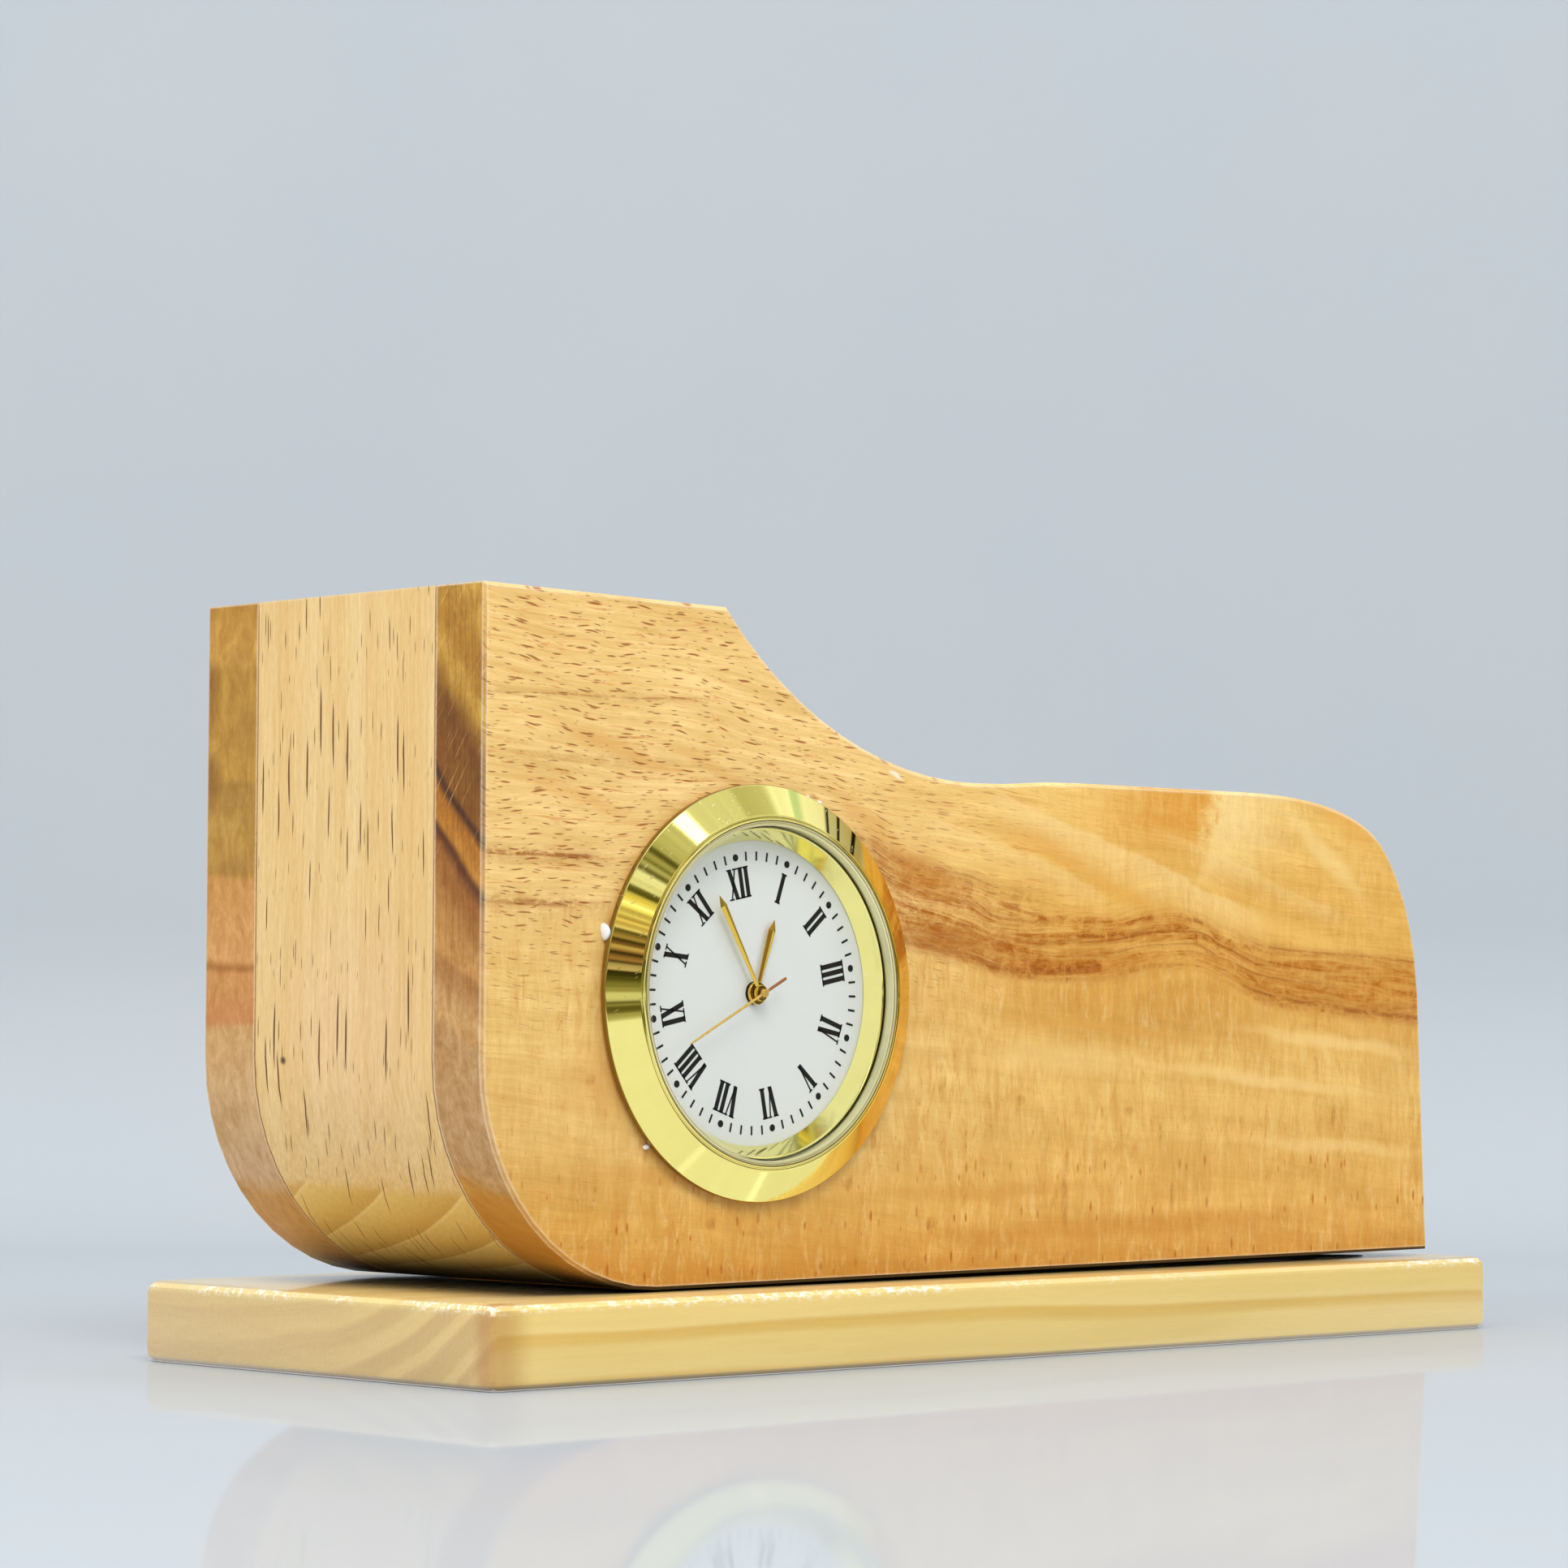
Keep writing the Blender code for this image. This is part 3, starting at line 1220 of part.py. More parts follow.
def build_contacts(frame):
    """The two flat contact springs, one on each face of the battery."""
    front = negative_contact_front()
    half = CONTACT_WIDTH / 2
    place = (BATTERY_X, BATTERY_Y, 0.0)
    low = (-BATTERY_RADIUS + BATTERY_LIP, -half, -front - CONTACT_THICK)
    high = (BATTERY_RADIUS - BATTERY_LIP, half, -front)
    mesh = box_mesh("negative_contact", low, high)
    add_object("negative_contact", mesh, CONTACT_METAL, None, frame, place)
    middle = (BRIDGE_BACK + CASE_FLOOR) / 2
    low = (-BATTERY_RADIUS, -half, -middle - CONTACT_THICK / 2)
    high = (BATTERY_RADIUS, half, -middle + CONTACT_THICK / 2)
    mesh = box_mesh("positive_contact", low, high)
    add_object("positive_contact", mesh, CONTACT_METAL, None, frame, place)


# Assembly

def clock_frame():
    """The clock's own frame: on the wood's face, z to the viewer, turned in its hole."""
    place = (BODY_LEFT + CLOCK_X, BODY_FRONT, BODY_BOTTOM + CLOCK_HEIGHT)
    seat = add_empty("insert_seat", None, place, (math.radians(90.0), 0.0, 0.0))
    return add_empty("insert_frame", seat, turn=(0.0, 0.0, math.radians(INSERT_TURN_DEGREES)))


def build_wood(frame):
    """The wooden pieces and what fastens them."""
    build_base()
    build_base_screws()
    build_boards(frame)
    build_blocks(frame)


def build_insert(frame):
    """The clock insert, from the bezel to the knob at its back."""
    build_bezel(frame)
    build_lens(frame)
    build_reflector(frame)
    build_dial(frame)
    build_band(frame)
    build_case(frame)
    build_hatch(frame)
    build_hour_hand(frame)
    build_minute_hand(frame)
    build_second_hand(frame)


def build_movement(frame):
    """The quartz movement inside the insert."""
    build_main_plate(frame)
    build_bridge(frame)
    build_bridge_screws(frame)
    build_hour_wheel(frame)
    build_cannon(frame)
    build_minute_wheel(frame)
    build_centre_wheel(frame)
    build_third_wheel(frame)
    build_second_wheel(frame)
    build_intermediate_wheel(frame)
    build_rotor(frame)
    build_knob(frame)
    build_stator(frame)
    build_coil(frame)
    build_board(frame)
    build_crystal(frame)
    build_battery(frame)
    build_contacts(frame)


clear_scene()
PARTS = new_collection("pen_holder_clock")
CUTTERS = new_collection("cutters")

FRONT_WOOD = new_material("front_wood", (0.72, 0.40, 0.12), 0.5)
BACK_WOOD = new_material("back_wood", (0.66, 0.38, 0.14), 0.5)
BLOCK_WOOD = new_material("block_wood", (0.80, 0.56, 0.28), 0.5)
BASE_WOOD = new_material("base_wood", (0.83, 0.65, 0.30), 0.3)
GOLD = new_material("gold", (0.90, 0.75, 0.25), 0.15, 1.0)
LENS_MATERIAL = new_material("lens_clear", (0.95, 0.97, 0.97), 0.05, 0.0, 0.3)
DIAL_WHITE = new_material("dial_white", (0.80, 0.81, 0.80), 0.5)
WHITE_PLASTIC = new_material("white_plastic", (0.85, 0.85, 0.83), 0.4)
GREY_PLASTIC = new_material("grey_plastic", (0.30, 0.31, 0.33), 0.5)
BRASS = new_material("brass", (0.78, 0.60, 0.25), 0.3, 1.0)
STEEL = new_material("steel", (0.62, 0.62, 0.63), 0.3, 1.0)
COPPER = new_material("copper", (0.72, 0.34, 0.16), 0.4, 1.0)
BOARD_GREEN = new_material("board_green", (0.04, 0.22, 0.08), 0.5)
CELL_STEEL = new_material("cell_steel", (0.70, 0.70, 0.71), 0.25, 1.0)
CONTACT_METAL = new_material("contact_metal", (0.75, 0.73, 0.66), 0.3, 1.0)

CLOCK = clock_frame()
build_wood(CLOCK)
build_insert(CLOCK)
build_movement(CLOCK)
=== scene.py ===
"""The look of a wooden desk pen holder with a clock insert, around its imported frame."""

import random
from functools import partialmethod, reduce
from math import cos, e, pi, radians, sin, tan

import bmesh
import bpy
from mathutils import Matrix, Vector


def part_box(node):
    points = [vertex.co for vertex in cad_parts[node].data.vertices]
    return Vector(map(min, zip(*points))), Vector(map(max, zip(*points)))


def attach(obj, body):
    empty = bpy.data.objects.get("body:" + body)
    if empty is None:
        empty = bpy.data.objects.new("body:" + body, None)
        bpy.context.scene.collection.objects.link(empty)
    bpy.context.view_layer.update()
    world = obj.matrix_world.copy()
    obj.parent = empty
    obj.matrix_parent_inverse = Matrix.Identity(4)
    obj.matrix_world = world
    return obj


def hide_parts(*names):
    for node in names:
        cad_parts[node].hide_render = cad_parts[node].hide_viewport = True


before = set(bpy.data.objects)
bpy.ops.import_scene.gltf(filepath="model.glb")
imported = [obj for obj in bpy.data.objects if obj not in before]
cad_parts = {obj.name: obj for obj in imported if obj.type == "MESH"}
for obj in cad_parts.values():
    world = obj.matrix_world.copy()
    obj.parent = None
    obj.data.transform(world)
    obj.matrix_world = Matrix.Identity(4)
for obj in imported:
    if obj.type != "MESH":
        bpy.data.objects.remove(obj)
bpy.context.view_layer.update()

MM = 0.001
MICROMETRE = 1e-6
ARRIS_RADIUS = 0.0005
SMOOTH_DEGREES, PIECE_DEGREES = 28.0, 35.0
FAR = 1e6
WHITE = (1.0, 1.0, 1.0, 1.0)

# Corners of the body and of the plate, from which their grain is measured, and the clock
BODY_CORNER = (-0.08495, -0.0258, 0.0101)
BASE_CORNER = (-0.0890, -0.0330, 0.0)
CLOCK_CENTRE = (-0.04235, -0.0258, 0.0450)
CLOCK_TURN = 11.0


def turn(degrees, axis):
    return Matrix.Rotation(radians(degrees), 4, axis)


CLOCK_FRAME = Matrix.Translation(CLOCK_CENTRE) @ turn(90.0, "X") @ turn(CLOCK_TURN, "Z")


def linear(value):
    """One colour channel from 0 to 255 as linear light."""
    share = value / 255.0
    if share <= 0.04045:
        return share / 12.92
    return ((share + 0.055) / 1.055) ** 2.4


def rgb(red, green, blue):
    """A screen colour as the linear colour that shaders take."""
    return (linear(red), linear(green), linear(blue), 1.0)


# Materials

class Value:
    """A number, vector or colour in the nodes of a look, and what nodes make of it."""

    def __init__(self, look, socket):
        self.look = look
        self.socket = socket

    def math(self, operation, other=0.0):
        return self.look.math(operation, self, other)

    def __rsub__(self, other):
        return self.look.math("SUBTRACT", other, self)

    __add__ = partialmethod(math, "ADD")
    __sub__ = partialmethod(math, "SUBTRACT")
    __mul__ = partialmethod(math, "MULTIPLY")
    __truediv__ = partialmethod(math, "DIVIDE")
    __abs__ = partialmethod(math, "ABSOLUTE")
    most = partialmethod(math, "MAXIMUM")

    def split(self):
        """The three parts of a vector or a colour."""
        made = self.look.node("SeparateXYZ", {0: self})
        return [Value(self.look, socket) for socket in made.outputs]

    def stretched(self, x, y, z):
        return self.look.vector("MULTIPLY", self, (x, y, z))

    def noise(self, scale, detail=2.0, roughness=0.5, distortion=0.0):
        return self.look.out(0, "TexNoise", {
            "Vector": self, "Scale": scale, "Detail": detail, "Roughness": roughness,
            "Distortion": distortion,
        })

    def waves(self, x, y, z, detail=2.0, roughness=0.5, distortion=0.0):
        """Noise with its own scale along each axis."""
        return self.stretched(x, y, z).noise(1.0, detail, roughness, distortion)

    def grain(self, x, y, z, detail=3.0, roughness=0.6, distortion=0.0):
        """Such noise, spread over the whole of zero to one."""
        return self.waves(x, y, z, detail, roughness, distortion).span(0.3, 0.7)

    def step(self, kind, low, high, start, end):
        inputs = {0: self, 1: low, 2: high, 3: start, 4: end}
        return self.look.out(0, "MapRange", inputs, interpolation_type=kind)

    def ease(self, low, high, start=0.0, end=1.0):
        """A smooth step from low to high."""
        return self.step("SMOOTHSTEP", low, high, start, end)

    def fall(self, low, high):
        """A smooth step from one at low to zero at high."""
        return self.ease(low, high, 1.0, 0.0)

    def span(self, low, high, start=0.0, end=1.0):
        """A straight step from low to high."""
        return self.step("LINEAR", low, high, start, end)

    def onto(self, start, end):
        """A share as a number between two others."""
        return self.span(0.0, 1.0, start, end)

    def between(self, low, high, soft):
        """One between two limits and zero outside, with soft edges."""
        return self.ease(low - soft, low + soft) * self.fall(high - soft, high + soft)

    def curve(self, low, high, points):
        """A smooth function through points, each a place and a height."""
        bottom = min(height for _, height in points)
        top = max(height for _, height in points)
        made = self.look.node("FloatCurve", {"Value": self.span(low, high)})
        line = made.mapping.curves[0]
        while len(line.points) < len(points):
            line.points.new(0.5, 0.5)
        for knot, (place, height) in zip(line.points, points):
            knot.location = ((place - low) / (high - low), (height - bottom) / (top - bottom))
        made.mapping.update()
        return Value(self.look, made.outputs[0]).onto(bottom, top)

    def ramp(self, stops, low=0.0, high=1.0, smooth=True):
        """Colours along a value. Each stop is a place and a screen colour, or a linear colour of four."""
        made = self.look.node("ValToRGB", {0: self.span(low, high)})
        made.color_ramp.interpolation = "EASE" if smooth else "LINEAR"
        elements = made.color_ramp.elements
        while len(elements) < len(stops):
            elements.new(0.5)
        for element, (place, *colour) in zip(elements, stops):
            element.position = (place - low) / (high - low)
            element.color = rgb(*colour) if len(colour) == 3 else colour
        return Value(self.look, made.outputs[0])

    def mix(self, first, second):
        """The first colour where this share is zero, and the second where it is one."""
        return self.look.mix(self, first, second)

    def either(self, first, second):
        """The same for numbers."""
        return self.look.out(0, "Mix", {0: self, 2: first, 3: second})

    def paint(self, share, *colour):
        """Lay a share of a screen colour over this colour."""
        self.socket = self.look.mix(share, self, rgb(*colour)).socket

    def shade(self, colour, low, high):
        """A colour made darker or lighter as this share goes from zero to one."""
        tone = self.onto(low, high)
        return self.look.mix(1.0, colour, self.look.join(tone, tone, tone), "MULTIPLY")

    def depths(self, depth):
        """Factors for wood: deeper and warmer where this share is zero, and paler where it is one."""
        low = (1.0 - depth, 1.0 - 1.5 * depth, 1.0 - 2.6 * depth, 1.0)
        return self.mix(low, (1.0 + 0.8 * depth, 1.0 + depth, 1.0 + 1.4 * depth, 1.0))

    def deepen(self, share, depth):
        """Vary this colour by such factors."""
        self.socket = self.look.mix(1.0, self, share.depths(depth), "MULTIPLY").socket

    def blob(self, centre, size, degrees=0.0):
        """A soft spot in the plane of x and z, one in its middle and zero past its edge."""
        turned = self.look.out(0, "Mapping", {
            "Vector": self, "Location": (centre[0], 0.0, centre[1]),
            "Rotation": (0.0, radians(-degrees), 0.0), "Scale": (size[0], FAR, size[1]),
        }, vector_type="TEXTURE")
        return self.look.out(1, "VectorMath", {0: turned}, operation="LENGTH").fall(0.2, 1.0)

    def flecks(self, across, cell, least, greatest, shift=0.0):
        """Small long marks, one to a cell, with sizes that differ."""
        spot = self.look.join((self + shift) * (1.0 / cell[0]), across * (1.0 / cell[1]), 0.0)
        inputs = {"Vector": spot, "Scale": 1.0}
        made = self.look.node("TexVoronoi", inputs, voronoi_dimensions="2D")
        far, colour = (Value(self.look, made.outputs[name]) for name in ("Distance", "Color"))
        reach = colour.split()[0].onto(least, greatest).most(0.001)
        return self.look.math("SUBTRACT", 1.0, far / reach, True)


class Look:
    """One material or another tree, whose nodes are made by calls."""

    def __init__(self, name=None, tree=None):
        if name:
            self.material = bpy.data.materials.new(name + "_look")
            self.material.use_nodes = True
        self.tree = tree or self.material.node_tree

    def feed(self, socket, value):
        """Link a socket to a value, or set its own number."""
        if isinstance(value, Value):
            self.tree.links.new(value.socket, socket)
        else:
            socket.default_value = value

    def node(self, kind, inputs, **settings):
        """Add a node with its settings and inputs."""
        made = self.tree.nodes.new(kind if "Node" in kind else "ShaderNode" + kind)
        for name, value in settings.items():
            setattr(made, name, value)
        for key, value in inputs.items():
            self.feed(made.inputs[key], value)
        return made

    def out(self, output, kind, inputs=None, **settings):
        """What comes out of a new node."""
        return Value(self, self.node(kind, inputs or {}, **settings).outputs[output])

    def math(self, operation, first, second, clamp=False):
        inputs = {0: first, 1: second}
        return self.out(0, "Math", inputs, operation=operation, use_clamp=clamp)

    def vector(self, operation, first, second):
        return self.out(0, "VectorMath", {0: first, 1: second}, operation=operation)

    def place(self, corner):
        """Millimetres from a corner, in the frame that the piece rides in."""
        moved = self.vector("SUBTRACT", self.out("Object", "TexCoord"), corner)
        return moved.stretched(1000.0, 1000.0, 1000.0)

    def join(self, x, y, z):
        return self.out(0, "CombineXYZ", {0: x, 1: y, 2: z})

    def mix(self, share, first, second, blend="MIX"):
        """One colour laid over another."""
        inputs = {0: share, 6: first, 7: second}
        return self.out(2, "Mix", inputs, data_type="RGBA", blend_type=blend)

    def facing(self, axis):
        """How far a surface faces along one axis of its piece."""
        return abs(self.out("Normal", "TexCoord").split()[axis])

    def arris(self):
        """One along the edges of a piece."""
        bevel = self.out(0, "Bevel", {"Radius": ARRIS_RADIUS}, samples=4)
        inputs = {0: bevel, 1: self.out("Normal", "NewGeometry")}
        likeness = self.out("Value", "VectorMath", inputs, operation="DOT_PRODUCT")
        return likeness.fall(0.86, 0.99)

    def finish(self, colour, roughness, bump, depth, **plain):
        """Set the usual shader: colour, roughness, bump with its depth in micrometres, plain numbers."""
        shader = self.tree.nodes["Principled BSDF"].inputs
        self.feed(shader["Base Color"], colour)
        self.feed(shader["Roughness"], roughness)
        inputs = {"Height": bump, "Distance": depth * MICROMETRE, "Strength": 1.0}
        self.feed(shader["Normal"], self.out(0, "Bump", inputs))
        for name, value in plain.items():
            shader[name.replace("_", " ").title().replace("Ior", "IOR")].default_value = value
        return self.material

    def surface(self, shader):
        """Show another shader in place of the usual one."""
        self.feed(self.tree.nodes["Material Output"].inputs["Surface"], shader)
        return self.material


def new_look(name, corner=CLOCK_CENTRE):
    """A new look, with its place in millimetres from a corner and the three parts of that place."""
    look = Look(name)
    spot = look.place(corner)
    return look, spot, *spot.split()


def finish_beech(look, colour, z, fine, marks, grain, cut, dull, bright):
    """Painted shade darkens the beech's low undersides where it meets the plate, out of reach of the
    light, and its marks are cut in.
    """
    # Painted shade on the low undersides near the plate
    colour.paint(z.ease(0.5, 3.6, 0.92, 0) * look.facing(2).ease(0.3, 0.6), 30, 17, 6)
    height = fine * grain + marks * cut
    return look.finish(colour, fine.onto(dull, bright), height, 60, specular_ior_level=0.3)


def end_figure(look, spot, level):
    """Cloudy figure of end grain, from zero to one."""
    x, y, _ = spot.split()
    clouds = look.join(x, y, level).grain(0.1, 0.34, 0.17, 3, 0.6, 1.4)
    return clouds * 0.68 + spot.grain(0.2, 3.2, 1.3, 3, 0.7) * 0.32


def scratches(look, spot, share):
    """Thin pale hair scratches on a slant."""
    _, y, z = spot.split()
    return look.join(0, y + z * 0.7, z).waves(1, 4.2, 0.13, 1).ease(0.655, 0.7) * share


def flame(x, z, start, end, fade):
    """A pale tongue with a crisp slanting upper edge, which fades downwards."""
    slope = (end[1] - start[1]) / (end[0] - start[0])
    line = (x - start[0]) * slope + start[1]
    depth = line - z
    crisp = depth.ease(-0.25, 0.35) * depth.fall(0.35, fade)
    return crisp * x.between(start[0], end[0], 6)


def front_wood():
    """Steamed beech with fine flecks, a dark wavy streak and a ripple that shines."""
    look, spot, x, y, z = new_look("front_wood", BODY_CORNER)
    sway = spot.waves(0.02, 0.03, 0.06, 3)
    wobble = sway.onto(-2.5, 2.5)
    centre = x.curve(0, 170, [
        (0, 49.5), (24, 49.3), (56, 49), (66, 46.2), (79, 43.6), (91, 41.6), (104, 42.2), (118, 43.6),
        (127, 41.6), (138, 38.4), (152, 37.4), (170, 36.6),
    ])
    lean = z.ease(38, 52, 0.45, 1.07)
    level = z + wobble - lean * y
    across = level - centre
    calm = abs(across).ease(4, 15)
    straight = x.span(0, 170, 50.5, 35.5)
    flow = level - calm.either(centre, straight)
    grained = look.join(x, y, flow)
    below = across.fall(-5, -1.5)

    # Both ramps darken towards the bottom: the wood's own tone, with painted shade and a painted warm
    # reflection from the plate
    tone = z.ramp([
        (0, 206, 148, 58), (7, 224, 174, 88), (20, 238, 200, 126), (34, 243, 208, 136),
        (50, 251, 217, 150), (82, 251, 216, 148),
    ], 0, 82)
    right = z.ramp([
        (0, 218, 164, 78), (8, 234, 186, 102), (24, 240, 198, 116), (36, 228, 174, 84),
        (46, 242, 194, 102), (62, 252, 212, 128),
    ], 0, 82)
    colour = x.ease(45, 105).mix(tone, right)
    fine = grained.grain(0.05, 0.25, 1.3, 4, 0.65, 0.3)
    zone = x.ease(4, 24, 0.55, 1) * below.most(x.ease(78, 110, 0, 0.55))
    level_share = zone * 0.75
    streaky = grained.grain(0.13, 1, 2.2, 4, 0.75, 0.8)
    for share, depth in (
        (grained.grain(0.012, 0.05, 0.13, 2), 0.06), (grained.grain(0.045, 0.2, 0.24, 3, 0.6, 0.4), 0.09),
        (level_share.either(fine, 0.5), 0.125), (level_share.either(streaky, 0.5), 0.13),
    ):
        colour.deepen(share, depth)
    colour.paint(streaky.ease(0.56, 0.95) * zone.onto(0.72, 0.15), 206, 126, 44)

    # Ripple: upright strokes, strongest below the dark streak
    strokes = spot.grain(0.85, 0.25, 0.2, 5, 0.8, 0.8)
    patches = spot.grain(0.11, 0.1, 0.08, 4, 0.7, 0.8).ease(0.1, 0.75, 0.35, 1)
    broad = spot.grain(0.36, 0.1, 0.085, 3, 0.65, 0.5)
    colour.deepen(zone.either(0.5, broad), 0.075)
    for share, paint in (
        (strokes.ease(0.6, 0.1, 0, 0.55), (214, 150, 68)),
        (strokes.ease(0.45, 0.95, 0, 0.42), (252, 218, 150)),
        (broad.ease(0.4, 0.05, 0, 0.28), (218, 152, 68)),
        (strokes.ease(0.22, 0, 0, 0.55), (200, 118, 32)),
    ):
        colour.paint(share * patches * zone, *paint)

    ticks = z.flecks(x, (5.6, 1.9), -0.06, 0.19, 3).ease(0, 0.7) * z.fall(4, 30)
    colour.paint(ticks * patches * 0.9, 184, 104, 24)

    # The dark streak: many thin lines that follow one wavy course
    lines = look.join(x, y, across).grain(0.055, 0.2, 0.75, 5, 0.75, 1.2)
    mottle = spot.grain(0.45, 0.4, 0.55, 4, 0.75, 0.6)
    feathered = across + strokes.onto(-1, 1)
    upper_edge = x.span(64, 120, 6.4, 3.2)
    body = feathered.ease(-5.2, -3.4) * (across - upper_edge).fall(-1.6, 1.4) * x.ease(56, 68)
    colour.paint(body * lines.ease(0.85, 0.25, 0.22, 1) * mottle.ease(0.15, 0.85, 1, 0.5), 190, 110, 12)
    colour.paint(body * lines.ease(0.42, 0.08) * mottle.ease(0.75, 0.25) * 0.85, 152, 78, 8)
    wedge = across.between(-4.6, 6, 1.8) * x.between(60, 92, 5) * mottle.ease(0.1, 0.9, 0.55, 0.05)
    colour.paint(wedge * lines.ease(0.9, 0.3, 0.3, 1), 170, 92, 12)
    edges = []
    for height, half, start, end, strength in (
        (19.8, 0.15, -1, 34, 0.55), (12.6, 0.8, 4, 30, 0.22), (1.3, 0.36, -1, 19, 0.85),
        (-4.4, 0.5, -1, 17, 0.62), (-3.8, 0.3, 132, 172, 0.75), (-3.6, 0.4, 64, 104, 0.5),
        (3.4, 0.2, 132, 172, 0.6), (0.6, 0.18, 88, 138, 0.55), (-1.2, 0.15, 96, 150, 0.45),
        (6, 0.2, 62, 84, 0.4), (3, 0.18, 62, 92, 0.4),
    ):
        far = abs(across - height)
        core = far.fall(half * 0.3, half * 1.6)
        halo = far.ease(half, half * 6, 0.34, 0)
        along = x.between(start, end, 5)
        edges.append(core.most(halo) * along * strength)
    patchy = grained.grain(0.3, 0.3, 0.8, 4, 0.8, 0.5).ease(0.15, 0.65, 0.12, 1)
    colour.paint(reduce(Value.most, edges) * patchy, 156, 80, 14)

    # The pale flame and the orange patch at the low end, and soft waves at the tall end
    grey = spot.waves(0.1, 0.2, 0.16, 3)
    rough = look.join(x + sway.onto(-3, 3), 0, z + grey.onto(-1.4, 1.4))
    for across_x, up, wide, tall, degrees, strength, *paint in (
        (148, 54.5, 15, 2.2, -36, 0.6, 254, 216, 138), (152, 59, 14, 3, -30, 0.55, 232, 166, 66),
        (94, 53.4, 15, 2.6, -15, 0.6, 226, 158, 54), (108, 48.8, 13, 2, -14, 0.55, 228, 162, 60),
        (140, 44.4, 18, 2.4, -12, 0.5, 246, 196, 104), (72, 49.5, 9, 4, -24, 0.5, 206, 134, 48),
        (76, 42, 12, 2.6, -4, 0.6, 178, 104, 24), (150, 29, 26, 1.5, -5, 0.6, 254, 214, 136),
        (136, 24, 34, 1.2, -5, 0.55, 254, 214, 136), (150, 15, 26, 1.4, -4, 0.5, 252, 212, 134),
        (104, 31, 26, 1.2, -5, 0.55, 224, 164, 74), (96, 27, 20, 3, -4, 0.5, 250, 210, 130),
        (110, 5.5, 60, 2.2, 1, 0.5, 206, 138, 50), (84, 10.5, 34, 1.6, 1, 0.45, 212, 150, 66),
        (22, 25, 13, 7, 0, 0.45, 228, 168, 90), (36, 13, 24, 2.2, -2, 0.4, 222, 158, 76),
        (20, 63.5, 16, 1.5, -16, 0.6, 228, 172, 92), (14, 57.5, 14, 1.3, -14, 0.5, 228, 172, 92),
        (34, 62, 12, 1.2, -22, 0.45, 228, 172, 92), (62, 56, 12, 2, -30, 0.5, 222, 160, 78),
    ):
        colour.paint(rough.blob((across_x, up), (wide, tall), degrees) * strength, *paint)

    rough_x, _, rough_z = rough.split()
    border = rough_x - z.span(50, 62, 122.6, 127) + mottle.onto(-2.2, 2.2)
    orange = border.ease(-34, -3) * border.fall(-4.5, 2.5) * rough_z.ease(50, 59)
    colour.paint(orange * strokes.onto(0.95, 0.6) * 0.92, 222, 142, 24)
    pale = border.ease(-2.5, 2) * border.fall(2, 20) * rough_z.ease(47.5, 58) * strokes.onto(0.6, 1)
    colour.paint(pale * 0.9, 255, 222, 150)
    for start, end, fade, strength in (
        ((84, 60.6), (134, 46.6), 6.5, 0.72), ((68, 58.2), (104, 48.6), 4, 0.5),
        ((118, 56), (152, 46.4), 3.2, 0.4),
    ):
        tongue = flame(rough_x, rough_z, start, end, fade) * strength * strokes.onto(0.45, 1)
        colour.paint(tongue, 254, 216, 142)

    # Rays of the beech, seen as short flecks
    rise = look.facing(1).ease(0.4, 0.6).either(y * 1.3, flow)
    rise = rise + spot.waves(0.16, 0.3, 0.16, 1).onto(-0.8, 0.8)
    long_flecks = x.flecks(rise, (8.4, 0.84), 0.08, 0.185).ease(0, 0.6)
    small = x.flecks(rise, (4.4, 0.55), 0.03, 0.2, 31).ease(0, 0.7, 0, 0.8)
    upper = x.ease(46, 104, 1, 0.1) * z.ease(27, 46, 0.1, 1)
    marks = long_flecks.most(small) * upper
    colour.paint(marks * 0.84, 164, 84, 14)

    spots = []
    for across_x, up, wide_x, tall in (
        (73.9, 23, 0.9, 1.9), (88.5, 21.4, 1.2, 0.8), (108.8, 20, 1.5, 0.9), (149.7, 19.2, 0.9, 2.3),
        (97.5, 9.8, 0.9, 7.6), (73.5, 6.6, 1.7, 1.2), (16, 24.5, 1.2, 1.1), (35.4, 7.8, 1.2, 1.1),
        (25.4, 16.2, 0.8, 1.5), (58, 12, 1, 1.2), (118, 9, 0.6, 2.6), (62, 17, 0.7, 2.2),
    ):
        spots.append(rough.blob((across_x, up), (wide_x, tall)))
    torn = spot.grain(1.6, 0.3, 0.5).ease(0.1, 0.7, 1, 0.45)
    colour.paint(reduce(Value.most, spots) * torn * 0.66, 184, 112, 38)

    # End grain on the left end, in slanting bands
    end = level.ramp([
        (0, 190, 132, 44), (9, 192, 138, 58), (12, 196, 156, 110), (27, 190, 150, 102),
        (28.5, 206, 164, 110), (35, 172, 122, 66), (36, 198, 148, 86), (43, 158, 102, 42),
        (45.2, 96, 50, 10), (46.6, 190, 130, 46), (49.6, 170, 108, 28), (51.6, 74, 38, 8),
        (53, 130, 80, 20), (60, 122, 76, 18), (66, 190, 146, 60), (70, 174, 126, 44), (82, 204, 160, 72),
    ], 0, 82)
    end.deepen(end_figure(look, spot, level), 0.26)
    end.deepen(mottle, 0.14)
    end.paint(scratches(look, spot, z.ease(44, 54, 0, 0.42)), 226, 186, 124)
    ended = look.facing(0).ease(0.35, 0.85)
    colour = ended.mix(colour, end)
    glow = look.facing(0).ease(0.25, 0.6) * z.ease(10.6, 12.2, 0.8, 0)
    colour = glow.mix(colour, look.mix(1, rgb(196, 134, 48), fine.depths(0.08), "MULTIPLY"))

    # Pale arris: sanded wear together with a painted highlight along the edges
    colour.paint(look.arris() * fine.ease(0, 0.5, 0.5, 1) * 0.85, 255, 240, 212)
    colour.paint(rough.blob((66.8, 61.8), (1.8, 0.5), -30) * 0.85, 255, 246, 224)
    return finish_beech(look, colour, z, fine, marks, 0.25, -1.2, 0.46, 0.34)


